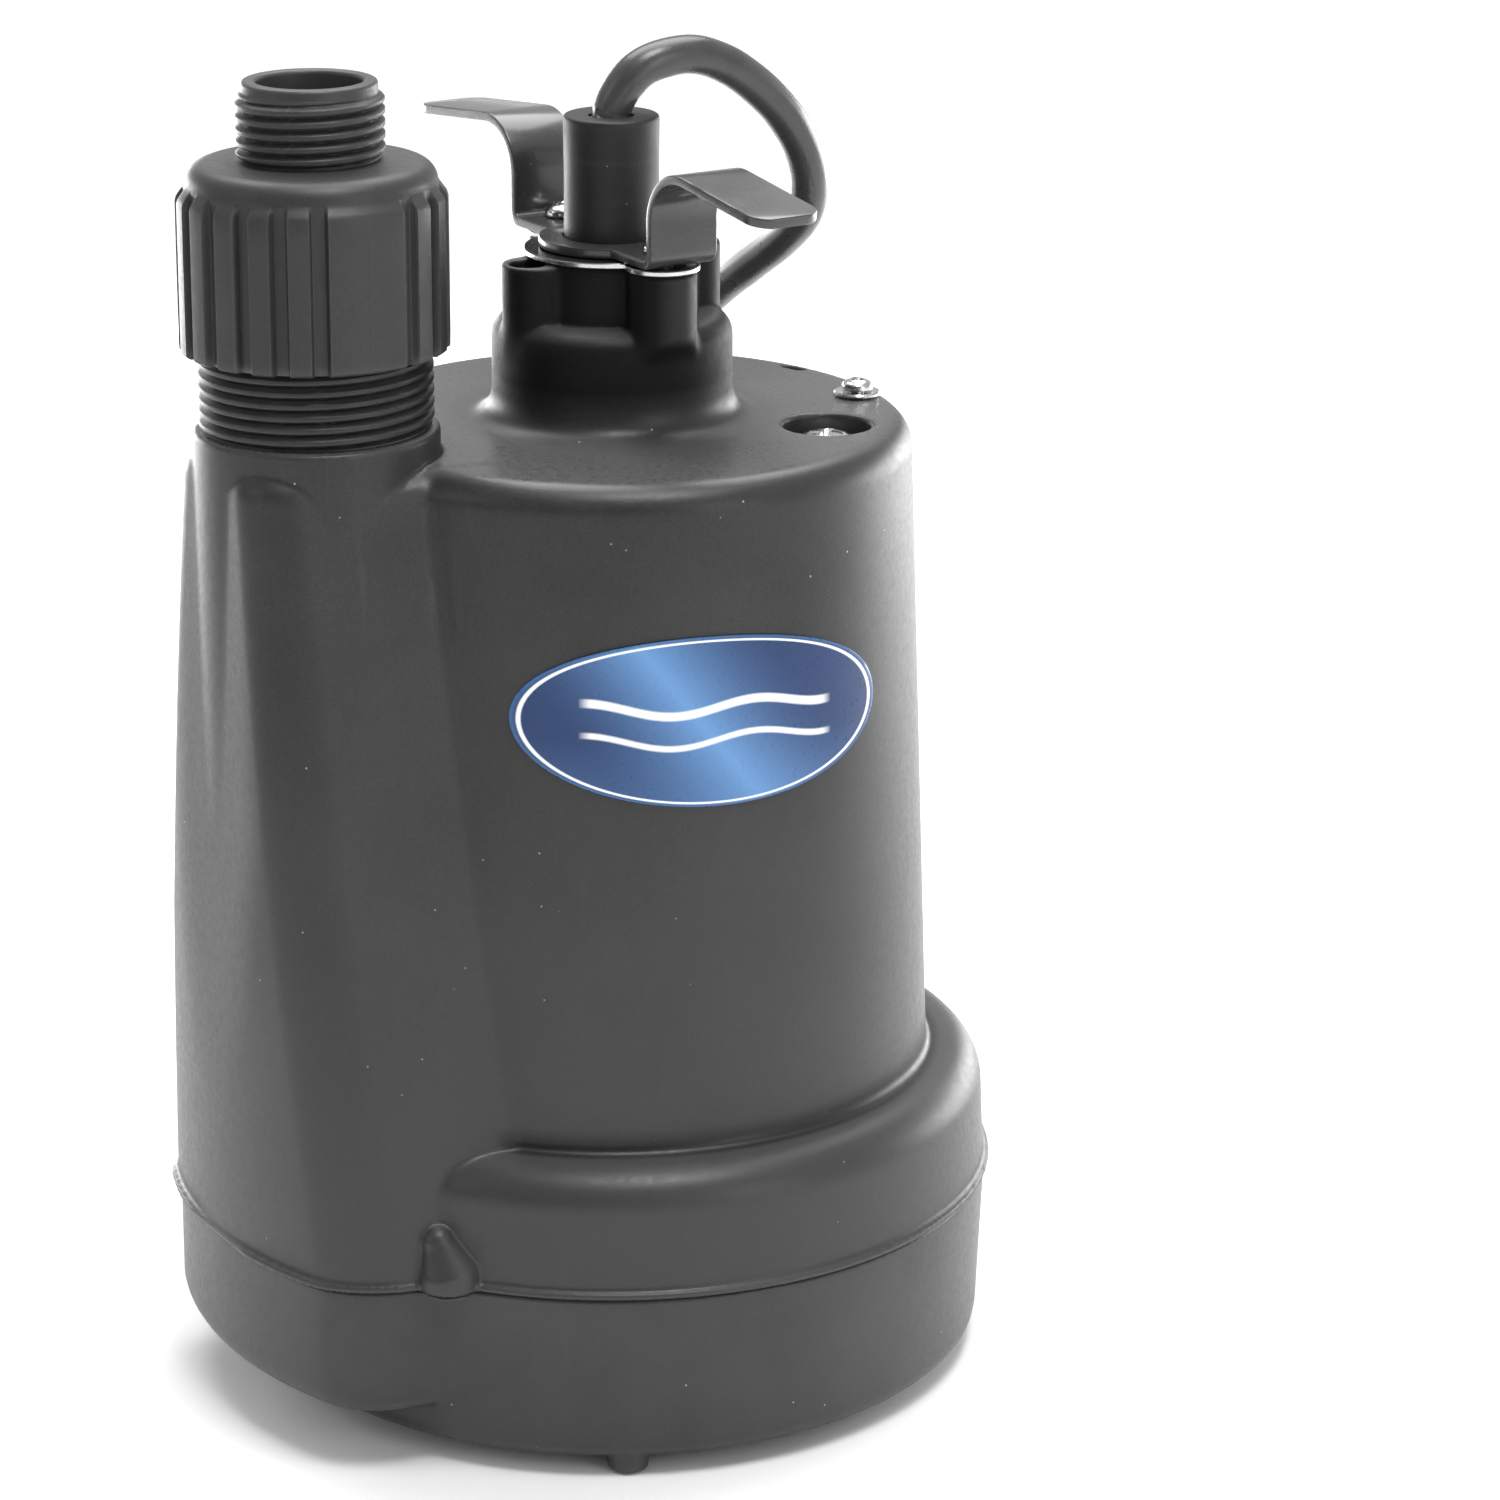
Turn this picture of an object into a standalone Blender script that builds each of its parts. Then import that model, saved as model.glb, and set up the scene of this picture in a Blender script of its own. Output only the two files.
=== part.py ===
"""Submersible sump pump: motor housing, pump base, rotor, seal, adapter, handle and cord.

Origin: on the pump axis, at the floor the strainer hub and the peg feet stand on.
+Z is up, the discharge stands at -X and the handle spreads along Y. The cord loops out
over the housing and ends on the floor in a plug. All constants are millimetres, except
angles, which are degrees unless noted. R_ is a radius, Z_ a height.
"""
import math

import bmesh
import bpy
from mathutils import Vector

for _old in list(bpy.data.objects):
    bpy.data.objects.remove(_old, do_unlink=True)

MM = 0.001
GAP = 0.3            # running and assembly gap between neighbouring pieces
SHARP_ANGLE = math.radians(35)

# outer shell
Z_BASE = 3.0         # underside of the base band
Z_BASE_TOP = 35.9
Z_SEAM = Z_BASE_TOP + GAP    # underside of the motor housing
Z_SKIRT = 52.0
Z_SHOULDER = 59.85
Z_WALL_LO, Z_WALL_HI = 60.0, 178.0   # heights the two wall radii are given at
Z_TOP = 184.4        # flat top of the housing
Z_GUSSET = 186.0     # top of the two gussets beside the discharge pipe
Z_LEDGE = 204.0      # ledge of the boss drum
Z_BOSS = 215.0       # top of the boss
R_BAND_LO, R_BAND_HI = 71.0, 72.3
R_FLANGE = 73.4
R_SKIRT_LO, R_SKIRT_HI = 72.0, 71.4
R_WALL_LO, R_WALL_HI = 60.57, 56.4
R_DRUM = 22.5
R_NECK = 15.8
LUG_X, LUG_Y = 16.0, 18.9    # distances of the four boss lugs from the axis
R_LUG = 6.3
Z_GROMMET_SEAT = 205.0
FILL_AT, Z_FILL_SEAT = (30.3, -27.4), 179.6
GROUND_AT, GROUND_WASHER_T = (46.6, -11.9), 0.8
VENT_AT = -144.0     # vent spout, angle about the pump axis
PEG_AT = (0.0, 120.0, -117.4)
R_PEG_CIRCLE = 66.3
BASE_SCREW_AT = (30, 90, -30, -90)
R_BASE_SCREW_CIRCLE = 66.0
Z_BASE_SCREW_SEAT = 13.0
OVERSIZE = 120.0     # half width of the boxes that trim the shell at the seam

# discharge
X_DISCHARGE = -61.2
DISCHARGE = (X_DISCHARGE, 0.0)
R_PIPE = 22.34
R_BORE = 17.5
PIPE_PHASE = 0.03    # turn of the pipe's and bore's facets, radians
PITCH = 2.209        # 11.5 threads per inch
R_CREST, R_ROOT = 21.3, 19.9
Z_THREAD_LO, Z_THREAD_HI = 190.0, 214.0

# discharge block
R_BLOCK_CORNER = 8.0
FLANK_SLOPE = 0.19
FLANK_X = 81.0       # distance from the axis the block's half width is given at
R_BLOCK_TOP, R_LOBE_BOTTOM = 5.5, 4.0    # rounding of the upper and lower edge

# volute seal
R_SEAL, R_SEAL_POCKET = 57.4, 20.3
Z_GROOVE = 33.9

# hose adapter
Z_GRIP_LO, Z_GRIP_HI, Z_RIM = 204.1, 238.0, 252.7
R_GRIP, R_RIB = 22.8, 24.4
R_GRIP_BORE = 21.6
R_NIPPLE, R_NIPPLE_CREST, R_NIPPLE_BORE = 12.2, 13.35, 9.5
PAD_LONG = 18.0      # half width of the long pad at a mould line
PAD_SHORT, PAD_GAP = 10.3, 6.84
PAD_RAMP = 0.7       # half width of the step at each end of a pad
MOULD_LINE = -91.5

# motor and wet end
R_CAVITY, X_FLAT = 50.0, -40.5
R_CHAMBER = 50.0
R_EYE = 20.0
R_SHAFT = 4.0
R_SHAFT_BORE = R_SHAFT + GAP
R_IMPELLER = 42.0
R_STATOR, R_STATOR_BORE, R_ROTOR = 40.1, 19.8, 19.0
Z_STATOR_LO, Z_STATOR_HI = 75.0, 125.0
ROTOR_OVERHANG = 2.0
R_TIE_CIRCLE, R_TIE_HOLE = 44.2, 2.3
TIE_AT = (45, 135, -45, -135)
R_BEARING, R_BEARING_SEAT, BEARING_LENGTH = 11.1, 11.4, 8.3
R_SHAFT_CLEAR = 5.6
Z_BEARING_LO = 45.0  # floor of the lower bearing seat
Z_BRACKET_LO, Z_BRACKET_HI = 143.0, 147.0

# handle and clamp plate
PLATE_T = 1.0
Z_PLATE = Z_BOSS + GAP
Z_HANDLE = Z_PLATE + PLATE_T + GAP
HANDLE_YAW = math.radians(2.0)
HANDLE_W = 14.2
HANDLE_T = 1.8
HANDLE_FOOT = 22.4   # distance from the axis at which the bar bends up
R_FOOT_BEND, R_TOP_BEND = 2.0, 9.6
# side of the pump axis along Y: rise of the bend, droop of the wing, length of its straight
WINGS = {1: (0.5, 5.5, 27.2), -1: (-0.4, 7.5, 25.7)}

# cord and plug
CORD_R = 3.65
CORD_TURN = math.radians(-30)    # turn of the frame the loop is given in
PLUG_LENGTH = 39.0
# cord above the grommet: (x, y, z)
CORD_RISE = [(0, 0, 160.0), (0, 0, 200.0), (0, 0, 237.0), (0, 0, 241.4)]
# loop, drop and floor run of the cord: (x, y, z) before CORD_TURN about the pump axis
CORD_LOOP = [
    (2.7, 0.5, 246.4), (6.9, 2.0, 249.8), (14.1, 6.0, 250.9), (20.4, 10.0, 248.7),
    (26.4, 14.0, 244.1), (32.0, 18.0, 237.7), (35.9, 22.0, 230.1), (37.2, 26.0, 223.1),
    (36.4, 31.0, 216.1), (32.5, 38.0, 209.6), (26.5, 46.0, 202.9), (20.5, 54.0, 196.3),
    (14.5, 61.0, 188.5), (10.0, 65.5, 176.0), (8.0, 68.5, 158.0), (8.0, 72.0, 130.0),
    (8.0, 77.0, 98.0), (8.0, 81.5, 64.0), (9.0, 84.5, 36.0), (12.0, 89.0, 15.0),
    (19.0, 97.0, 5.5), (31.0, 110.0, 4.1), (36.0, 126.0, 4.0), (27.0, 141.0, 4.4),
    (15.0, 147.5, 7.4), (7.0, 149.5, 9.0), (0.0, 150.0, 9.0),
]
# plug sections: (distance from the cord's end, half width, half height)
PLUG_STATIONS = [
    (0.9, 4.4, 4.4), (8.0, 4.9, 4.9), (12.0, 5.6, 5.4), (16.0, 11.0, 7.6),
    (22.0, 13.2, 8.2), (37.0, 13.2, 8.2), (PLUG_LENGTH, 12.4, 7.4),
]

# vent sections: (height, reach beyond the wall, half width)
VENT_UPPER = [(34.9, 6.4, 5.2), (40.0, 5.6, 4.8), (45.0, 4.0, 3.6), (49.3, 1.4, 2.2)]
VENT_LOWER = [(32.8, 1.0, 3.6), (34.2, 5.6, 5.0), (40.0, 6.4, 5.2)]


# ---------------------------------------------------------------- materials
def material(name, colour, roughness, metallic=0.0):
    mat = bpy.data.materials.get(name) or bpy.data.materials.new(name)
    mat.use_nodes = True
    shader = mat.node_tree.nodes["Principled BSDF"]
    shader.inputs["Base Color"].default_value = (*colour, 1.0)
    shader.inputs["Roughness"].default_value = roughness
    shader.inputs["Metallic"].default_value = metallic
    mat.diffuse_color = (*colour, 1.0)
    return mat


PLASTIC = material("charcoal_plastic", colour=(0.060, 0.060, 0.062), roughness=0.55)
BLACK = material("black_paint", colour=(0.014, 0.014, 0.015), roughness=0.25, metallic=0.3)
RUBBER = material("rubber", colour=(0.035, 0.035, 0.037), roughness=0.6)
CHROME = material("zinc_screw", colour=(0.72, 0.72, 0.71), roughness=0.2, metallic=1.0)
STEEL = material("bright_steel", colour=(0.60, 0.61, 0.62), roughness=0.3, metallic=1.0)
COPPER = material("winding_copper", colour=(0.62, 0.27, 0.12), roughness=0.4, metallic=0.8)
LAMINATION = material("lamination_steel", colour=(0.34, 0.35, 0.37), roughness=0.45, metallic=0.9)
CERAMIC = material("seal_ceramic", colour=(0.82, 0.80, 0.76), roughness=0.35)
DARK_GREY = material("impeller_plastic", colour=(0.10, 0.10, 0.105), roughness=0.45)
BLUE = material("badge_blue", colour=(0.035, 0.11, 0.33), roughness=0.3)


# ---------------------------------------------------------------- outlines
def turned(x, y, angle):
    """The point (x, y) turned about the origin by an angle in radians."""
    return (x * math.cos(angle) - y * math.sin(angle), x * math.sin(angle) + y * math.cos(angle))


def polar(radius, degrees):
    angle = math.radians(degrees)
    return (radius * math.cos(angle), radius * math.sin(angle))


def arc(centre_a, centre_b, radius, start, end, steps):
    """Points of an arc in any plane, angles in radians."""
    angles = [start + (end - start) * i / steps for i in range(steps + 1)]
    return [(centre_a + radius * math.cos(a), centre_b + radius * math.sin(a)) for a in angles]


def arc_degrees(centre_a, centre_b, radius, start, end, steps):
    return arc(centre_a, centre_b, radius, math.radians(start), math.radians(end), steps)


def flatted_circle(radius, x_flat, steps):
    """Circle with a chord flat at x = x_flat."""
    half = math.acos(x_flat / radius)
    return arc(0.0, 0.0, radius, -half, half, steps)


def thread(z, z_limit, r_root, r_crest):
    """Profile points of the ridges that fit between z and z_limit."""
    points = []
    while z + PITCH < z_limit:
        points += [(r_root, z), (r_crest, z + PITCH / 2)]
        z += PITCH
    return points


def wall_radius(z):
    return R_WALL_LO + (z - Z_WALL_LO) * (R_WALL_HI - R_WALL_LO) / (Z_WALL_HI - Z_WALL_LO)


# ---------------------------------------------------------------- mesh helpers
def shade(data):
    data.shade_smooth()
    data.set_sharp_from_angle(angle=SHARP_ANGLE)


def finish(name, mesh, mat=PLASTIC, origin=(0.0, 0.0, 0.0)):
    """Makes an object of the mesh, with outward normals and its origin as given."""
    bmesh.ops.remove_doubles(mesh, verts=mesh.verts, dist=1e-7)
    bmesh.ops.recalc_face_normals(mesh, faces=mesh.faces)
    if mesh.calc_volume(signed=True) < 0:
        bmesh.ops.reverse_faces(mesh, faces=mesh.faces)
    place = Vector(origin) * MM
    bmesh.ops.translate(mesh, verts=mesh.verts, vec=-place)
    data = bpy.data.meshes.new(name)
    mesh.to_mesh(data)
    mesh.free()
    part = bpy.data.objects.new(name, data)
    part.location = place
    bpy.context.scene.collection.objects.link(part)
    shade(data)
    data.materials.append(mat)
    return part


def bridge(mesh, first, second):
    """Quads between two closed rings of vertices."""
    count = len(first)
    for k in range(count):
        q = (k + 1) % count
        mesh.faces.new((first[k], first[q], second[q], second[k]))


def lathe(name, profile, seg, mat=PLASTIC, centre=(0.0, 0.0), origin=None, phase=0.0):
    """Turns a closed (radius, height) outline about a vertical axis.

    phase turns the first facet corner away from +X, in radians.
    """
    mesh = bmesh.new()
    rings = []
    for radius, z in profile:
        if radius < 1e-9:
            rings.append([mesh.verts.new((centre[0] * MM, centre[1] * MM, z * MM))])
            continue
        angles = [phase + 2 * math.pi * k / seg for k in range(seg)]
        rings.append([mesh.verts.new(((centre[0] + radius * math.cos(a)) * MM,
                                      (centre[1] + radius * math.sin(a)) * MM, z * MM))
                      for a in angles])
    for lower, upper in zip(rings, rings[1:] + rings[:1]):
        if len(lower) == 1 and len(upper) == 1:
            continue
        if len(lower) > 1 and len(upper) > 1:
            bridge(mesh, lower, upper)
            continue
        for k in range(seg):
            q = (k + 1) % seg
            if len(lower) == 1:
                mesh.faces.new((lower[0], upper[q], upper[k]))
            else:
                mesh.faces.new((lower[k], lower[q], upper[0]))
    return finish(name, mesh, mat, origin or (centre[0], centre[1], 0.0), )


def round_tool(z, steps, seg, centre=(0.0, 0.0), phase=0.0):
    """Tool solid of stacked cylinders: starts at z, each step is (radius, height it ends at)."""
    profile = [(0, z)]
    for radius, z_end in steps:
        profile += [(radius, z), (radius, z_end)]
        z = z_end
    profile.append((0, z))
    return lathe("tool", profile, seg, centre=centre, phase=phase)


def tube(name, r_out, r_in, z0, z1, seg, mat, centre=(0.0, 0.0)):
    """Plain ring about a vertical axis, its origin kept on the pump axis."""
    profile = [(r_in, z0), (r_out, z0), (r_out, z1), (r_in, z1)]
    return lathe(name, profile, seg, mat, centre, origin=(0.0, 0.0, 0.0))


def loft(sections, mesh=None):
    """Joins closed outlines [(x, y, z), ...] of equal length into one capped solid."""
    mesh = mesh or bmesh.new()
    rings = [[mesh.verts.new((x * MM, y * MM, z * MM)) for x, y, z in section]
             for section in sections]
    for lower, upper in zip(rings, rings[1:]):
        bridge(mesh, lower, upper)
    mesh.faces.new(rings[0])
    mesh.faces.new(rings[-1])
    return mesh


def prism(name, outline, z0, z1, mat=PLASTIC):
    return finish(name, loft([[(x, y, z) for x, y in outline] for z in (z0, z1)]), mat)


def ring_prism(name, outer, inner, z0, z1, mat=PLASTIC):
    """Upright band between two outlines of equal length."""
    mesh = bmesh.new()
    loops = [[mesh.verts.new((x * MM, y * MM, z * MM)) for x, y in outline]
             for outline, z in ((outer, z0), (outer, z1), (inner, z1), (inner, z0))]
    for first, second in zip(loops, loops[1:] + loops[:1]):
        bridge(mesh, first, second)
    return finish(name, mesh, mat)


def box(name, low, high, mat=PLASTIC):
    corners = [(low[0], low[1]), (high[0], low[1]), (high[0], high[1]), (low[0], high[1])]
    return prism(name, corners, low[2], high[2], mat)


def rod(points, radii, seg):
    """Round bar swept along a path of points, one radius to each, with flat ends."""
    path = [Vector(p) for p in points]
    last = len(path) - 1
    tangents = [(path[min(i + 1, last)] - path[max(i - 1, 0)]).normalized()
                for i in range(last + 1)]
    across = Vector((1, 0, 0)) if abs(tangents[0].x) < 0.9 else Vector((0, 1, 0))
    across = (across - across.dot(tangents[0]) * tangents[0]).normalized()
    sections = []
    for point, tangent, radius in zip(path, tangents, radii):
        across = (across - across.dot(tangent) * tangent).normalized()
        beside = tangent.cross(across)
        angles = [2 * math.pi * k / seg for k in range(seg)]
        sections.append([point + radius * (math.cos(a) * across + math.sin(a) * beside)
                         for a in angles])
    return loft(sections)


def settle(part):
    """Turns the object's modifier stack into its own mesh."""
    deps = bpy.context.evaluated_depsgraph_get()
    data = bpy.data.meshes.new_from_object(part.evaluated_get(deps))
    part.modifiers.clear()
    part.data = data
    mesh = bmesh.new()
    mesh.from_mesh(data)
    bmesh.ops.remove_doubles(mesh, verts=mesh.verts, dist=2e-6)
    bmesh.ops.dissolve_degenerate(mesh, edges=mesh.edges, dist=2e-6)
    mesh.to_mesh(data)
    mesh.free()
    shade(data)


def combine(part, tools, operation):
    """Adds or cuts the tool solids one by one, then removes them."""
    for tool in tools:
        modifier = part.modifiers.new("shape", "BOOLEAN")
        modifier.operation = operation
        modifier.solver = "EXACT"
        modifier.object = tool
        bpy.context.view_layer.update()
        settle(part)
        bpy.data.objects.remove(tool, do_unlink=True)


def screw(name, centre, z_seat, r_head, h_head, r_shank, length, mat=CHROME, up=True, seg=12):
    """Pan-head screw with its origin at the head's seat; up=False points the head down."""
    sign = 1.0 if up else -1.0
    profile = [(0, -length), (r_shank, -length), (r_shank, 0), (r_head, 0),
               (r_head, h_head * 0.45), (r_head * 0.65, h_head), (0, h_head)]
    lathe(name, [(radius, z_seat + sign * z) for radius, z in profile], seg, mat, centre,
          (*centre, z_seat))


# ---------------------------------------------------------------- shapes housing and base share
def block_face(z):
    """Distance of the discharge block's flat outer face from the pump axis."""
    if z >= 118.0:
        return 82.6 + (172.0 - z) * 0.019
    return 83.63 + (118.0 - z) * 0.045


def block_outline(z, grow=0.0, x_in=-30.0):
    """Section of the discharge block: a sector of a disc, straight flanks, round corners."""
    disc = 84.2 + (165.0 - max(z, 95.0)) * 0.0195 + grow
    half_width = 38.2 - 0.139 * (max(z, 37.0) - 37.0)
    flat = block_face(z) + grow
    # flank line: its unit normal and its distance from the pump axis
    norm = math.hypot(1.0, FLANK_SLOPE)
    normal_x, normal_y = -FLANK_SLOPE / norm, 1.0 / norm
    flank = (half_width + FLANK_SLOPE * FLANK_X) / norm + grow
    # centre of the corner: one corner radius in from both the flank and the disc
    inset_flank = flank - R_BLOCK_CORNER
    inset_disc = disc - R_BLOCK_CORNER
    along = math.sqrt(inset_disc * inset_disc - inset_flank * inset_flank)
    corner_x = inset_flank * normal_x - along * normal_y
    corner_y = inset_flank * normal_y + along * normal_x
    flank_angle = math.atan2(normal_y, normal_x)
    disc_angle = math.atan2(corner_y, corner_x)
    upper = [(x_in, (flank - normal_x * x_in) / normal_y)]
    upper += arc(corner_x, corner_y, R_BLOCK_CORNER, flank_angle, disc_angle, 3)
    face = arc(0.0, 0.0, disc, disc_angle, 2 * math.pi - disc_angle, 5)[1:-1]
    lower = [(x, -y) for x, y in reversed(upper)]
    return [(max(x, -flat), y, z) for x, y in upper + face + lower]


def vent_tool(stations, r_wall, depth):
    """Half-round spout lofted through the stations, rooted depth inside the wall."""
    sections = []
    for z, reach, half in stations:
        outline = [(r_wall - depth, -half)]
        outline += arc(r_wall + reach - half, 0.0, half, -math.pi / 2, math.pi / 2, 8)
        outline += [(r_wall - depth, half)]
        sections.append([(*turned(x, y, math.radians(VENT_AT)), z) for x, y in outline])
    return finish("tool", loft(sections))


def seal_path(grow=0.0):
    """Outline round the volute and the discharge pocket: two crossing circles."""
    big, small = R_SEAL + grow, R_SEAL_POCKET + grow
    x = (X_DISCHARGE * X_DISCHARGE + big * big - small * small) / (2 * X_DISCHARGE)
    y = math.sqrt(big * big - x * x)
    volute = math.atan2(y, x)
    pocket = math.atan2(y, x - X_DISCHARGE)
    return (arc(0.0, 0.0, big, -volute, volute, 34)
            + arc(X_DISCHARGE, 0.0, small, pocket, 2 * math.pi - pocket, 12)[1:-1])


BASE_SCREWS = [polar(R_BASE_SCREW_CIRCLE, a) for a in BASE_SCREW_AT]
TIE_POINTS = [polar(R_TIE_CIRCLE, a) for a in TIE_AT]


# ---------------------------------------------------------------- motor housing
def discharge_block():
    sections = [block_outline(34.0, 1.0), block_outline(37.5, 1.0), block_outline(37.7)]
    z_round = Z_GUSSET - R_BLOCK_TOP
    sections += [block_outline(z) for z in (75.0, 118.0, z_round)]
    for angle in (35, 65, 90):
        out, rise = polar(1.0, angle)
        sections.append(block_outline(z_round + R_BLOCK_TOP * rise, -R_BLOCK_TOP * (1 - out),
                                      x_in=-48.0))
    return finish("tool", loft(sections))


def discharge_pipe():
    profile = [(0.0, 60.0), (R_PIPE, 60.0), (R_PIPE, 189.7), (R_ROOT, Z_THREAD_LO)]
    profile += thread(Z_THREAD_LO + 0.5, Z_THREAD_HI + 0.5, R_ROOT, R_CREST)
    profile += [(R_ROOT, Z_THREAD_HI), (0.0, Z_THREAD_HI)]
    return lathe("tool", profile, 24, centre=DISCHARGE, phase=PIPE_PHASE)


def build_housing():
    # flange, skirt, shoulder, tapered wall, flat top, drum and neck: (radius, height)
    profile = [(0.0, 34.0), (R_FLANGE, 34.0), (R_FLANGE, 37.5), (R_SKIRT_LO, 37.7),
               (R_SKIRT_HI, Z_SKIRT)]
    profile += arc_degrees(R_SKIRT_HI - 8.0, Z_SHOULDER - 8.0, 8.0, 10, 90, 3)
    profile += [(wall_radius(60.0) + 0.6, Z_SHOULDER), (wall_radius(62.0), 61.5)]
    profile += arc_degrees(R_WALL_HI - 5.4, Z_TOP - 5.6, 5.6, 0, 90, 3)
    profile += [(30.0, Z_TOP), (29.4, 185.1), (26.6, 185.9), (24.1, 188.2), (R_DRUM, 194.0),
                (R_DRUM, 200.0)]
    profile += arc_degrees(R_DRUM - 4.0, 200.0, 4.0, 30, 90, 2)
    profile += [(R_NECK, Z_LEDGE), (R_NECK, Z_BOSS), (0.0, Z_BOSS)]
    housing = lathe("motor_housing", profile, 40)
    combine(housing, [discharge_block(), discharge_pipe()], "UNION")
    combine(housing, [round_tool(199.5, [(R_LUG, Z_BOSS - 0.15)], 16, at, phase=0.02)
                      for at in ((LUG_X, 0), (-LUG_X, 0), (0, LUG_Y), (0, -LUG_Y))], "UNION")
    combine(housing, [vent_tool(VENT_UPPER, R_SKIRT_LO, 4.0)], "UNION")
    cuts = [
        # cavity with its flat beside the discharge, then the seat for the end plate
        prism("tool", flatted_circle(R_CAVITY, X_FLAT, 36), 30.0, 176.0),
        prism("tool", flatted_circle(R_CAVITY + 2.0, X_FLAT, 36), 30.0, 41.8),
        # discharge bore
        round_tool(30, [(R_BORE, 220)], 20, DISCHARGE, PIPE_PHASE),
        # seam plane
        box("tool", (-OVERSIZE, -OVERSIZE, 20), (OVERSIZE, OVERSIZE, Z_SEAM)),
        # cord way and grommet seat in the boss
        round_tool(170, [(5.0, Z_GROMMET_SEAT), (12.3, 220)], 20),
        # fill opening
        round_tool(170, [(3.3, Z_FILL_SEAT), (8.2, 190)], 20, FILL_AT),
        # ground screw hole
        round_tool(178.4, [(1.7, 190)], 12, GROUND_AT),
    ]
    # handle screw holes
    cuts += [round_tool(201.0, [(2.3, 220)], 10, (0, y)) for y in (LUG_Y, -LUG_Y)]
    # open tops of the two lugs on X
    cuts += [round_tool(205.0, [(3.6, 220)], 10, (x * 1.08, 0)) for x in (LUG_X, -LUG_X)]
    # base screw holes
    cuts += [round_tool(30.0, [(2.3, 51.0)], 10, at) for at in BASE_SCREWS]
    combine(housing, cuts, "DIFFERENCE")


# ---------------------------------------------------------------- pump base
def base_lobe():
    """Lower part of the discharge block, rounded at its bottom edge."""
    sections = []
    for angle in (10, 40, 70, 90):
        drop, out = polar(1.0, angle)
        sections.append(block_outline(15.0 - R_LOBE_BOTTOM * drop,
                                      -R_LOBE_BOTTOM * (1 - out) - 0.6))
    sections.append(block_outline(Z_BASE_TOP + 2.0))
    return finish("tool", loft(sections))


def build_base():
    profile = [(0.0, Z_BASE), (67.6, Z_BASE)]
    profile += arc_degrees(R_BAND_LO - 3.6, Z_BASE + 3.8, 3.7, -70, 0, 2)
    profile += [(R_BAND_HI, Z_BASE_TOP + 2.0), (0.0, Z_BASE_TOP + 2.0)]
    base = lathe("base_volute", profile, 40)
    peg = [(0, 0.0), (3.5, 0.0), (3.85, 0.5), (3.85, 12.0), (0, 12.0)]
    pegs = [lathe("tool", peg, 12, centre=polar(R_PEG_CIRCLE, a)) for a in PEG_AT]
    combine(base, [base_lobe()] + pegs + [vent_tool(VENT_LOWER, R_BAND_LO, 5.0)], "UNION")
    cuts = [
        # strainer recess, eye, volute chamber and its discharge pocket
        round_tool(0, [(62.2, 19.5)], 40),
        round_tool(15, [(R_EYE, 30)], 24),
        round_tool(23, [(R_CHAMBER, 50)], 36),
        round_tool(23.1, [(R_BORE, 50)], 20, DISCHARGE, PIPE_PHASE),
        # seam plane and seal groove
        box("tool", (-OVERSIZE, -OVERSIZE, Z_BASE_TOP), (OVERSIZE, OVERSIZE, 60)),
        ring_prism("tool", seal_path(1.5), seal_path(-1.5), Z_GROOVE, 45.0),
    ]
    cuts += [round_tool(0, [(3.9, Z_BASE_SCREW_SEAT), (2.3, 45)], 10, at) for at in BASE_SCREWS]
    combine(base, cuts, "DIFFERENCE")


def build_seal():
    ring_prism("volute_oring", seal_path(1.1), seal_path(-1.1), Z_GROOVE + GAP, 35.95, RUBBER)


def build_strainer():
    """Shallow pan with a hub foot and twelve radial slots."""
    profile = [(0, 0), (13.5, 0), (14.5, 1.0), (14.5, 3.0), (61.0, 3.0), (61.9, 3.9),
               (61.9, 17.5), (59.6, 17.5), (59.6, 5.8), (0, 5.8)]
    strainer = lathe("strainer", profile, 40)
    slots = bmesh.new()
    slot = [(22.0, -2.2), (55.0, -4.0), (55.0, 4.0), (22.0, 2.2)]
    for k in range(12):
        outline = [turned(x, y, 2 * math.pi * (k + 0.5) / 12) for x, y in slot]
        loft([[(x, y, z) for x, y in outline] for z in (1.5, 8.0)], slots)
    combine(strainer, [finish("tool", slots)], "DIFFERENCE")


# ---------------------------------------------------------------- hose adapter
def grip_outline(z, rib, scale=1.0):
    """Outline of the grip: a long pad at each mould line, eight short pads between them."""
    pads = [(-PAD_LONG, PAD_LONG)]
    for k in range(8):
        start = PAD_LONG + PAD_GAP + (PAD_SHORT + PAD_GAP) * k
        pads.append((start, start + PAD_SHORT))
    points = []
    for line in (MOULD_LINE, MOULD_LINE + 180.0):
        for start, end in pads:
            middle = (-PAD_LONG / 2, 0.0, PAD_LONG / 2) if start < 0 else ()
            corners = [(start - PAD_RAMP, 0.0), (start + PAD_RAMP, rib)]
            corners += [(angle, rib) for angle in middle]
            corners += [(end - PAD_RAMP, rib), (end + PAD_RAMP, 0.0)]
            for angle, height in corners:
                x, y = polar((R_GRIP + height) * scale, line + angle)
                points.append((X_DISCHARGE + x, y, z))
    return points


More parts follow.
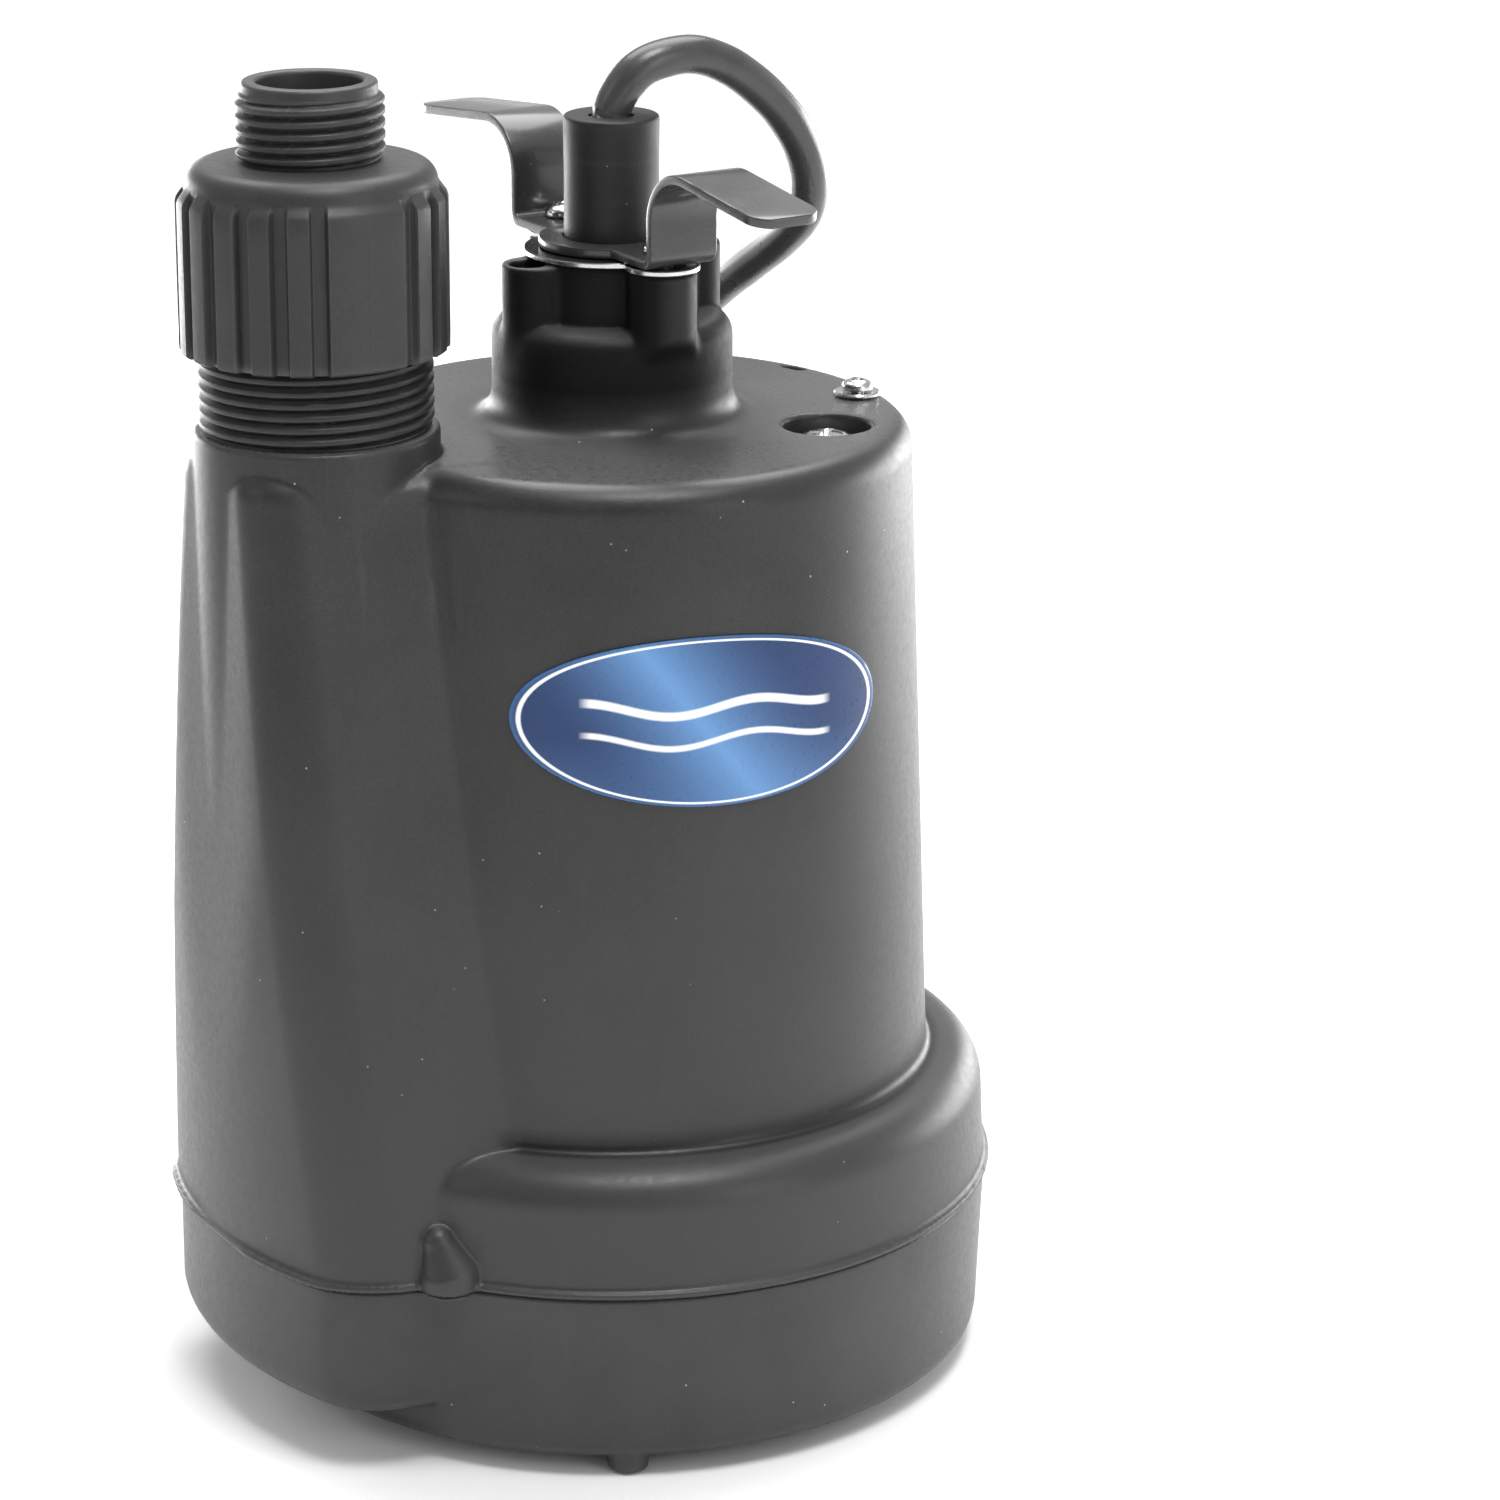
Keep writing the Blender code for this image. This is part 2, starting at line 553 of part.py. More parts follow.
def build_adapter():
    rib = R_RIB - R_GRIP
    sections = [grip_outline(Z_GRIP_LO, rib), grip_outline(232.6, rib), grip_outline(234.0, 0.0),
                grip_outline(236.7, 0.0, scale=0.96), grip_outline(Z_GRIP_HI, 0.0, scale=0.84)]
    adapter = finish("hose_adapter", loft(sections), origin=(*DISCHARGE, 0.0))
    nipple = [(0, 230.0), (R_NIPPLE, 230.0), (R_NIPPLE, 239.0)]
    nipple += thread(239.2, 250.6, R_NIPPLE, R_NIPPLE_CREST)
    nipple += [(R_NIPPLE, Z_RIM - 0.4), (R_NIPPLE - 0.4, Z_RIM), (0, Z_RIM)]
    combine(adapter, [lathe("tool", nipple, 20, centre=DISCHARGE)], "UNION")
    bore = [(0, 200.0), (R_GRIP_BORE, 200.0), (R_GRIP_BORE, 217.4), (16.5, 217.4), (14.5, 226.0),
            (R_NIPPLE_BORE, 233.0), (R_NIPPLE_BORE, 256.0), (0, 256.0)]
    combine(adapter, [lathe("tool", bore, 20, centre=DISCHARGE)], "DIFFERENCE")


def build_adapter_washer():
    tube("adapter_washer", 21.1, 13.0, Z_THREAD_HI + GAP, Z_THREAD_HI + 3.0, 24, RUBBER,
         DISCHARGE)


# ---------------------------------------------------------------- handle, plate, grommet
def clamp_holes():
    """Grommet hole and two screw holes, through the clamp plate and the handle."""
    return [round_tool(210, [(9.3, 225)], 20)] + [
        round_tool(210, [(2.4, 225)], 10, (0, y)) for y in (LUG_Y, -LUG_Y)]


def build_clamp_plate():
    """Disc with two round ears along Y."""
    r_disc, r_ear = 16.4, 6.9
    # where the disc and an ear cross
    y = (r_disc * r_disc - r_ear * r_ear + LUG_Y * LUG_Y) / (2 * LUG_Y)
    x = math.sqrt(r_disc * r_disc - y * y)
    disc = math.atan2(y, x)
    ear = math.atan2(y - LUG_Y, x)
    half = arc(0.0, 0.0, r_disc, -disc, disc, 10)
    half += arc(0.0, LUG_Y, r_ear, ear, math.pi - ear, 8)[1:-1]
    outline = half + [(-x, -y) for x, y in half]
    plate = prism("clamp_plate", outline, Z_PLATE, Z_PLATE + PLATE_T, STEEL)
    combine(plate, clamp_holes(), "DIFFERENCE")


def handle_path(side):
    """Middle line (distance from the axis, height) of one wing, from the foot to the tip."""
    rise, droop, length = WINGS[side]
    droop = math.radians(droop)
    z_foot = Z_HANDLE + HANDLE_T / 2
    path = [(9.0, z_foot), (17.5, z_foot), (HANDLE_FOOT, z_foot)]
    path += arc_degrees(HANDLE_FOOT, z_foot + R_FOOT_BEND, R_FOOT_BEND, -60, 0, 2)
    path += arc(HANDLE_FOOT + R_FOOT_BEND + R_TOP_BEND, 225.6 + rise, R_TOP_BEND,
                math.pi, math.pi / 2 - droop, 6)
    bend_end, bend_z = path[-1]
    for part in (0.5, 0.86, 1.0):
        path.append((bend_end + length * part * math.cos(droop),
                     bend_z - length * part * math.sin(droop)))
    return path


def build_handle():
    """Flat bar with a wing each way along Y and a ring round the grommet."""
    line = [(-out, z) for out, z in reversed(handle_path(-1))] + handle_path(1)
    last = len(line) - 1
    sections = []
    for i, (along, z) in enumerate(line):
        before = Vector(line[max(i - 1, 0)])
        after = Vector(line[min(i + 1, last)])
        tangent = (after - before).normalized()
        normal = Vector((-tangent.y, tangent.x)) * (HANDLE_T / 2)
        half = HANDLE_W / 2 - (3.2 if i in (0, last) else 0.0)
        sections.append([(*turned(s * half, along + q * normal.x, HANDLE_YAW), z + q * normal.y)
                         for s, q in ((-1, -1), (1, -1), (1, 1), (-1, 1))])
    handle = finish("handle_bracket", loft(sections), BLACK)
    circle = [turned(13.6, 0.0, 2 * math.pi * k / 24) for k in range(24)]
    ring = prism("tool", circle, Z_HANDLE, Z_HANDLE + HANDLE_T - 0.02)
    combine(handle, [ring], "UNION")
    combine(handle, clamp_holes(), "DIFFERENCE")


def build_grommet():
    z_seat = Z_GROMMET_SEAT + GAP
    profile = [(4.2, z_seat), (12.0, z_seat), (12.0, 214.9), (8.9, 214.9), (8.9, 240.4),
               (8.4, 240.9), (4.2, 240.9)]
    lathe("cord_grommet", profile, 20, RUBBER)


# ---------------------------------------------------------------- cord and plug
def smooth_curve(points, per_span):
    """Catmull-Rom curve through the given points."""
    knots = [Vector(p) for p in points]
    knots = [knots[0] * 2 - knots[1]] + knots + [knots[-1] * 2 - knots[-2]]
    curve = []
    for a, b, c, d in zip(knots, knots[1:], knots[2:], knots[3:]):
        for k in range(per_span):
            t = k / per_span
            curve.append(0.5 * ((2 * b) + (c - a) * t + (2 * a - 5 * b + 4 * c - d) * t * t
                                + (3 * b - a - 3 * c + d) * t ** 3))
    curve.append(knots[-2])
    return curve


def build_cord():
    """Cord from inside the housing to the plug; returns its middle line."""
    loop = [(*turned(x, y, CORD_TURN), z) for x, y, z in CORD_LOOP]
    line = smooth_curve(CORD_RISE + loop, 2)
    finish("power_cord", rod(line, [CORD_R] * len(line), 8), RUBBER)
    return line


def rounded(value):
    """Cosine or sine value bulged outward for a squarish oval."""
    return math.copysign(abs(value) ** 0.7, value)


def build_plug(end, direction):
    """Moulded grounding plug that carries on from the cord's end, two blades and a pin."""
    ahead = Vector((direction.x, direction.y, 0)).normalized()
    side = Vector((-ahead.y, ahead.x, 0))
    up = Vector((0, 0, 1))
    angles = [2 * math.pi * (k + 0.5) / 16 for k in range(16)]
    body = [[end + ahead * distance + side * (half_w * rounded(math.cos(a)))
             + up * (half_h * rounded(math.sin(a))) for a in angles]
            for distance, half_w, half_h in PLUG_STATIONS]
    finish("power_plug", loft(body), RUBBER)
    corners = ((-1, -1), (1, -1), (1, 1), (-1, 1))
    half_t, half_h = 0.8, 3.1
    for name, offset in (("blade_a", 6.3), ("blade_b", -6.3)):
        blade = []
        for distance in (PLUG_LENGTH + GAP, PLUG_LENGTH + 17.0):
            centre = end + ahead * distance + side * offset + up * 2.6
            blade.append([centre + side * (s * half_t) + up * (q * half_h) for s, q in corners])
        finish(name, loft(blade), STEEL)
    root = end + ahead * (PLUG_LENGTH + GAP) + up * -3.9
    pin = [root, root + ahead * 19.0, root + ahead * 20.5]
    finish("ground_pin", rod(pin, [2.3] * 3, 12), STEEL)


# ---------------------------------------------------------------- badge
def build_badge():
    """Thin oval label that follows the tapered wall on its -Y side, slightly tilted."""
    centre_angle, centre_z = math.radians(-101.1), 141.1
    half_w, half_h = 37.4, 15.8
    clearance, thickness = 0.6, 0.4
    seg, rings = 28, 3
    mesh = bmesh.new()

    def vertex(across, rise, offset):
        z = centre_z + rise - across / half_w
        radius = wall_radius(z) + offset
        angle = centre_angle + across / wall_radius(centre_z)
        return mesh.verts.new((radius * math.cos(angle) * MM, radius * math.sin(angle) * MM,
                               z * MM))

    rims = []
    for offset in (clearance, clearance + thickness):
        inner = [vertex(0.0, 0.0, offset)]
        for j in range(1, rings + 1):
            part = j / rings
            outer = [vertex(half_w * part * math.cos(2 * math.pi * k / seg),
                            half_h * part * math.sin(2 * math.pi * k / seg), offset)
                     for k in range(seg)]
            for k in range(seg):
                q = (k + 1) % seg
                if j == 1:
                    mesh.faces.new((inner[0], outer[k], outer[q]))
                else:
                    mesh.faces.new((inner[k], outer[k], outer[q], inner[q]))
            inner = outer
        rims.append(inner)
    bridge(mesh, *rims)
    finish("badge", mesh, BLUE)


# ---------------------------------------------------------------- motor
def tie_posts(z0, z1, radius=4.8):
    return [round_tool(z0, [(radius, z1)], 10, at) for at in TIE_POINTS]


def tie_holes(z0, z1):
    return [round_tool(z0, [(R_TIE_HOLE, z1)], 8, at) for at in TIE_POINTS]


def build_end_plate():
    """Plate that closes the cavity, with the lower bearing hub and four posts."""
    outline = flatted_circle(R_CAVITY + 1.7, X_FLAT + GAP, 32)
    plate = prism("end_plate", outline, Z_SEAM, 41.4)
    hub = lathe("tool", [(0, 41.0), (16.0, 41.0), (15.0, 54.0), (0, 54.0)], 20)
    combine(plate, [hub] + tie_posts(41.0, 74.6), "UNION")
    seats = [(10.4, 42.3), (R_SHAFT_CLEAR, Z_BEARING_LO), (R_BEARING_SEAT, 60)]
    combine(plate, [round_tool(30, seats, 20)] + tie_holes(66.0, 80.0), "DIFFERENCE")


def build_stator():
    core = tube("stator_core", R_STATOR, R_STATOR_BORE, Z_STATOR_LO, Z_STATOR_HI, 32, LAMINATION)
    combine(core, tie_posts(Z_STATOR_LO, Z_STATOR_HI, 5.2), "UNION")
    combine(core, tie_holes(70, 130), "DIFFERENCE")
    for name, z0, z1 in (("winding_lower", 59.0, Z_STATOR_LO - GAP),
                         ("winding_upper", Z_STATOR_HI + GAP, 140.0)):
        profile = [(23.5, z0 + 2), (26.0, z0), (32.0, z0), (35.2, z0 + 3), (35.2, z1 - 3),
                   (32.0, z1), (26.0, z1), (23.5, z1 - 2)]
        lathe(name, profile, 24, COPPER)


def build_bracket():
    """Plate above the stator, with the upper bearing hub and four posts."""
    outline = flatted_circle(R_CAVITY - 0.4, X_FLAT + GAP, 32)
    bracket = prism("bearing_bracket", outline, Z_BRACKET_LO, Z_BRACKET_HI, LAMINATION)
    hub = round_tool(144.0, [(15.5, 156.0)], 20)
    combine(bracket, [hub] + tie_posts(Z_STATOR_HI + GAP, 144.0), "UNION")
    seats = [(R_SHAFT_CLEAR, Z_BRACKET_HI), (R_BEARING_SEAT, 160.0)]
    combine(bracket, [round_tool(130, seats, 20)] + tie_holes(120, 150), "DIFFERENCE")
    for letter, at in zip("abcd", TIE_POINTS):
        screw("tie_screw_" + letter, at, Z_BRACKET_HI + GAP, r_head=3.6, h_head=2.6,
              r_shank=2.0, length=78.0, mat=STEEL, seg=8)


def build_bearings():
    for name, z_seat in (("bearing_lower", Z_BEARING_LO), ("bearing_upper", Z_BRACKET_HI)):
        z = z_seat + GAP
        tube(name, R_BEARING, R_SHAFT_BORE, z, z + BEARING_LENGTH, 16, STEEL)


def build_rotor():
    chamfer = R_SHAFT - 0.6
    lathe("shaft", [(0, 20.6), (chamfer, 20.6), (R_SHAFT, 21.2), (R_SHAFT, 156.4),
                    (chamfer, 157.0), (0, 157.0)], 16, STEEL)
    tube("rotor_core", R_ROTOR, R_SHAFT_BORE, Z_STATOR_LO - ROTOR_OVERHANG,
         Z_STATOR_HI + ROTOR_OVERHANG, 24, LAMINATION)


def build_electrical():
    """Capacitor lying along X and a small bevelled block, both above the bracket."""
    axis = [(x, 26, 166.0) for x in (-24, -23, 23, 24)]
    finish("capacitor", rod(axis, [7.4, 8.2, 8.2, 7.4], 20), BLACK)
    protector = box("thermal_protector", (12, -30, 147.4), (28, -21, 152.8), BLACK)
    mesh = bmesh.new()
    mesh.from_mesh(protector.data)
    bmesh.ops.bevel(mesh, geom=list(mesh.edges), offset=0.8 * MM, segments=2, profile=0.5,
                    affect="EDGES")
    mesh.to_mesh(protector.data)
    mesh.free()


# ---------------------------------------------------------------- wet end
def vane(start):
    """One curved vane that starts at an angle in radians and sweeps back towards the rim."""
    root, half_t = 8.5, 1.0
    sides = ([], [])
    for i in range(5):
        part = i / 4
        radius = root + (R_IMPELLER - 0.6 - root) * part
        angle = start - 1.15 * part
        for points, sign in zip(sides, (1, -1)):
            shift = sign * half_t
            points.append((radius * math.cos(angle) - shift * math.sin(angle - 0.4),
                           radius * math.sin(angle) + shift * math.cos(angle - 0.4)))
    return prism("tool", sides[0] + sides[1][::-1], 24.8, 30.2)


def build_impeller():
    profile = [(0, 24.6), (9.0, 24.6), (9.5, 29.6), (R_IMPELLER, 29.6), (R_IMPELLER, 31.4),
               (0, 31.4)]
    impeller = lathe("impeller", profile, 32, DARK_GREY)
    combine(impeller, [vane(2 * math.pi * k / 6) for k in range(6)], "UNION")
    combine(impeller, [round_tool(20, [(R_SHAFT_BORE, 40)], 16)], "DIFFERENCE")
    nut = [(5.0, 21.6), (7.6, 21.6), (8.4, 22.3), (8.4, 24.2), (5.0, 24.2)]
    lathe("impeller_nut", nut, 6, CHROME)


def build_shaft_seal():
    """Ceramic seat, the ring that turns below it, and the two-turn spring."""
    tube("seal_seat", 10.0, 5.4, 37.8, 42.0, 16, CERAMIC)
    tube("seal_rotor", 9.0, R_SHAFT_BORE, 34.9, 37.4, 16, CERAMIC)
    r_coil, turns, steps = 6.4, 2.0, 24
    coil = []
    for i in range(steps + 1):
        angle = 2 * math.pi * turns * i / steps
        coil.append((r_coil * math.cos(angle), r_coil * math.sin(angle), 32.35 + 1.75 * i / steps))
    finish("seal_spring", rod(coil, [0.38] * len(coil), 5), STEEL)


# ---------------------------------------------------------------- outer screws
def build_screws():
    for name, y in (("handle_screw_a", LUG_Y), ("handle_screw_b", -LUG_Y)):
        screw(name, (0, y), Z_HANDLE + HANDLE_T + GAP, r_head=3.5, h_head=2.4, r_shank=2.0,
              length=16.0)
    screw("fill_screw", FILL_AT, Z_FILL_SEAT + GAP, r_head=5.6, h_head=3.0, r_shank=3.0,
          length=9.0, seg=14)
    z_washer = Z_TOP + GAP
    tube("ground_washer", 4.4, 1.7, z_washer, z_washer + GROUND_WASHER_T, 14, CHROME, GROUND_AT)
    screw("ground_screw", GROUND_AT, z_washer + GROUND_WASHER_T + GAP, r_head=2.95, h_head=2.1,
          r_shank=1.4, length=6.2)
    for letter, at in zip("abcd", BASE_SCREWS):
        screw("base_screw_" + letter, at, Z_BASE_SCREW_SEAT - GAP, r_head=3.6, h_head=2.4,
              r_shank=2.0, length=36.0, up=False, seg=10)


# ---------------------------------------------------------------- assembly
build_housing()
build_base()
build_seal()
build_strainer()
build_adapter()
build_adapter_washer()
build_clamp_plate()
build_handle()
build_grommet()
cord_line = build_cord()
build_plug(cord_line[-1], cord_line[-1] - cord_line[-2])
build_screws()
build_badge()
build_end_plate()
build_stator()
build_bracket()
build_bearings()
build_rotor()
build_impeller()
build_shaft_seal()
build_electrical()
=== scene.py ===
"""Looks of a submersible sump pump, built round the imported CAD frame.

The motor axis is x = y = 0 with +Z up. The discharge pipe stands at -X, the front is -Y and
the handle runs along Y. Lengths are millimetres unless noted, and become metres in the meshes.
"""
import math

import bmesh
import bpy
import numpy as np
import openvdb
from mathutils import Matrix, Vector


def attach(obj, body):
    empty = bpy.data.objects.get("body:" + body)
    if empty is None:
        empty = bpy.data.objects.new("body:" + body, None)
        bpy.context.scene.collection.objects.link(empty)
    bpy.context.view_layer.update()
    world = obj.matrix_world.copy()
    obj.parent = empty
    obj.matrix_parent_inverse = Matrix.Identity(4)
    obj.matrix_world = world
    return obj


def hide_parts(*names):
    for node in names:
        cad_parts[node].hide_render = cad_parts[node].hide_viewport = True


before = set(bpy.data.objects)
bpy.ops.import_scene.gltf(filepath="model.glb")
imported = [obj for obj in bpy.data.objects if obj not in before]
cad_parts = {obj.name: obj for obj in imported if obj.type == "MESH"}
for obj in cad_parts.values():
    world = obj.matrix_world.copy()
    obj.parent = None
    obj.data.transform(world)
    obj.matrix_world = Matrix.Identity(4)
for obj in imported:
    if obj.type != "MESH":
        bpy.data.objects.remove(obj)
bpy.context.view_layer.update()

MM = 0.001
VOXEL = 0.75

# ------------------------------------------------------------------ shared sizes
# heights of the base, the seam and the housing
Z_BASE, Z_SEAM_LO, Z_SEAM, Z_LIP = 3.0, 35.9, 36.2, 37.6
Z_SKIRT, Z_SHOULDER, Z_TOP, Z_LEDGE, Z_BOSS = 52.0, 59.85, 184.4, 204.0, 215.0
# boss on the top: drum, neck, and four lugs on X and Y
R_DRUM, R_NECK = 22.5, 15.8
LUG_X, LUG_Y, R_LUG = 16.0, 18.9, 6.3
LUG_PAIR_X, LUG_PAIR_Y = (LUG_X, -LUG_X), (LUG_Y, -LUG_Y)
# discharge pipe and its thread
PIPE_X, R_PIPE, R_BORE = -61.2, 22.34, 17.5
PITCH, R_CREST, R_ROOT = 2.209, 21.3, 19.9
Z_THREAD_LO, Z_THREAD_HI = 190.0, 214.0
# hose adapter and the threaded nipple on it
Z_ADAPTER_LO, Z_ADAPTER_HI, Z_RIM = 204.1, 238.0, 252.7
R_ADAPTER, R_GRIP, R_ADAPTER_BORE = 22.8, 24.4, 21.6
R_NIPPLE, R_NIPPLE_CREST, R_NIPPLE_BORE = 12.2, 13.35, 9.5
# inside: motor cavity with a flat at X_FLAT, pump chamber and its eye
R_CAVITY, X_FLAT, R_CHAMBER, R_EYE = 50.0, -40.5, 50.0, 20.0
R_CORD = 3.61
# parts stacked on the boss, a small gap apart
GAP, PLATE_T = 0.3, 1.0
HANDLE_YAW, HANDLE_W, HANDLE_T, HANDLE_CORNER = math.radians(2.0), 14.2, 1.8, 4.6
PLATE_LO = Z_BOSS + GAP
PLATE_HI = PLATE_LO + PLATE_T
STRIP_LO = PLATE_HI + GAP
R_CORD_HOLE, R_SCREW_HOLE = 9.25, 2.4
WASHER_LO, WASHER_T = Z_TOP + GAP, 0.8
# screws seen from above, (x, y)
FILL = (30.3, -27.4)
GROUND = (46.6, -11.9)
R_BASE_SCREWS, BASE_SCREW_DEGREES, R_BASE_SCREW_HOLE = 66.0, (30, 90, -30, -90), 2.3


def wall_radius(z):
    """Radius of the drafted motor wall."""
    return 60.57 + (z - 60.0) * (56.4 - 60.57) / 118.0


def polar(radius, degrees):
    return radius * math.cos(math.radians(degrees)), radius * math.sin(math.radians(degrees))


# ------------------------------------------------------------------ shader helpers
def new_node(tree, kind, inputs=None, **settings):
    node = tree.nodes.new(kind)
    for key, value in settings.items():
        setattr(node, key, value)
    for key, value in (inputs or {}).items():
        node.inputs[key].default_value = value
    return node


def map_range(tree, value, over=(0.0, 1.0), to=(0.0, 1.0)):
    node = new_node(tree, "ShaderNodeMapRange", clamp=True, inputs={
        "From Min": over[0], "From Max": over[1], "To Min": to[0], "To Max": to[1]})
    tree.links.new(value, node.inputs["Value"])
    return node.outputs["Result"]


def scaled(colour, by):
    return tuple(c * by for c in colour)


class Shader:
    """A node material whose base colour is built up in layers."""

    def __init__(self, name):
        self.material = bpy.data.materials.new(name)
        self.material.use_nodes = True
        self.tree = self.material.node_tree
        self.principled = self.tree.nodes["Principled BSDF"]
        self.coordinates = self.node("ShaderNodeTexCoord")
        self.colour = None

    def node(self, kind, inputs=None, **settings):
        return new_node(self.tree, kind, inputs, **settings)

    def link(self, source, target):
        self.tree.links.new(source, target)

    def put(self, socket, value):
        if isinstance(value, bpy.types.NodeSocket):
            self.link(value, socket)
        else:
            socket.default_value = value

    def coords(self, stretch=(1, 1, 1)):
        mapping = self.node("ShaderNodeMapping", {"Scale": stretch})
        self.link(self.coordinates.outputs["Object"], mapping.inputs["Vector"])
        return mapping.outputs["Vector"]

    def noise(self, scale, detail, rough, stretch=(1, 1, 1)):
        node = self.node("ShaderNodeTexNoise",
                         {"Scale": scale, "Detail": detail, "Roughness": rough})
        self.link(self.coords(stretch), node.inputs["Vector"])
        return node.outputs["Fac"]

    def ramp(self, value, over, to=(0.0, 1.0)):
        return map_range(self.tree, value, over, to)

    def math(self, operation, first, second=0.0):
        node = self.node("ShaderNodeMath", operation=operation)
        self.put(node.inputs[0], first)
        self.put(node.inputs[1], second)
        return node.outputs[0]

    def times(self, value, by):
        return self.math("MULTIPLY", value, by)

    def length(self, across, along):
        return self.math("SQRT", self.math("ADD", self.times(across, by=across),
                                           self.times(along, by=along)))

    def tone(self, first, second, by):
        """Mixes two colours, each a tuple or a socket, into the base colour."""
        node = self.node("ShaderNodeMix", data_type="RGBA")
        self.put(node.inputs["Factor"], by)
        for socket, colour in ((node.inputs[6], first), (node.inputs[7], second)):
            self.put(socket, (*colour, 1.0) if isinstance(colour, tuple) else colour)
        self.colour = node.outputs[2]

    def tint(self, colour, by, strength=None):
        """Lays a colour over the base colour."""
        if strength is not None:
            by = self.times(by, by=strength)
        self.tone(self.colour, colour, by)

    def specks(self, scale, size, keep):
        """Sparse dots: 1 inside a dot. keep is the share of cells with a dot."""
        cells = self.node("ShaderNodeTexVoronoi", {"Scale": scale}, feature="F1")
        self.link(self.coords(), cells.inputs["Vector"])
        dot = self.ramp(cells.outputs["Distance"], over=(size, size * 0.4))
        split = self.node("ShaderNodeSeparateColor")
        self.link(cells.outputs["Color"], split.inputs["Color"])
        return self.times(dot, by=self.math("LESS_THAN", split.outputs["Red"], keep))

    def bump(self, height, strength, distance):
        node = self.node("ShaderNodeBump", {"Strength": strength, "Distance": distance})
        self.link(height, node.inputs["Height"])
        return node

    def split(self, vector):
        node = self.node("ShaderNodeSeparateXYZ")
        self.link(vector, node.inputs["Vector"])
        return node.outputs

    def upward(self):
        return self.split(self.node("ShaderNodeNewGeometry").outputs["Normal"])["Z"]

    def edge(self, over):
        """Above 0.5 on convex edges, below it in hollows, spread over the given range."""
        return self.ramp(self.node("ShaderNodeNewGeometry").outputs["Pointiness"], over)

    def done(self, rough, bumps, metal=0.0, spec=None):
        shader = self.principled.inputs
        self.link(self.colour, shader["Base Color"])
        self.put(shader["Roughness"], rough)
        self.put(shader["Metallic"], metal)
        if spec is not None:
            shader["Specular IOR Level"].default_value = spec
        for before, after in zip(bumps, bumps[1:]):
            self.link(before.outputs["Normal"], after.inputs["Normal"])
        self.link(bumps[-1].outputs["Normal"], shader["Normal"])
        return self.material


# ------------------------------------------------------------------ materials
def housing_zones(mat, rough, up, flat_top, spec):
    """Tone and gloss that change over the housing, by height and radius in metres, with painted
    shade on the drum and neck and a painted shadow line at the wall's foot.
    """
    x, y, z = mat.split(mat.coordinates.outputs["Object"])
    radius = mat.length(x, y)
    # the lower wall is a little paler
    mat.tint((0.050, 0.050, 0.051), by=mat.ramp(z, over=(0.165, 0.055), to=(0.0, 0.52)))
    # painted shade: the drum and neck, under the handle and plate, are painted darker, most on their
    # sides, and made duller
    boss = mat.times(mat.ramp(radius, over=(0.0262, 0.0240)), by=mat.ramp(z, over=(0.1875, 0.1935)))
    boss = mat.times(boss, by=mat.ramp(up, over=(0.95, 0.45), to=(0.35, 1.0)))
    mat.tint((0.0035, 0.0035, 0.0036), by=boss, strength=0.73)
    mat.link(mat.ramp(boss, over=(0.0, 1.0), to=(spec, spec * 0.25)),
             mat.principled.inputs["Specular IOR Level"])
    # painted shadow: a dark line where the wall meets the shoulder
    foot = mat.times(mat.ramp(z, over=(0.0645, 0.0612)), by=mat.ramp(z, over=(0.0592, 0.0600)))
    foot = mat.times(foot, by=mat.ramp(radius, over=(0.0634, 0.0620)))
    mat.tint((0.004, 0.004, 0.0042), by=foot, strength=0.80)
    rough = mat.math("ADD", rough, mat.times(boss, by=0.12))
    # the flat top outside the boss is glossier
    shine = mat.times(mat.times(flat_top, by=0.11), by=mat.ramp(radius, over=(0.028, 0.033)))
    return mat.math("SUBTRACT", rough, mat.times(shine, by=mat.ramp(z, over=(0.170, 0.178))))


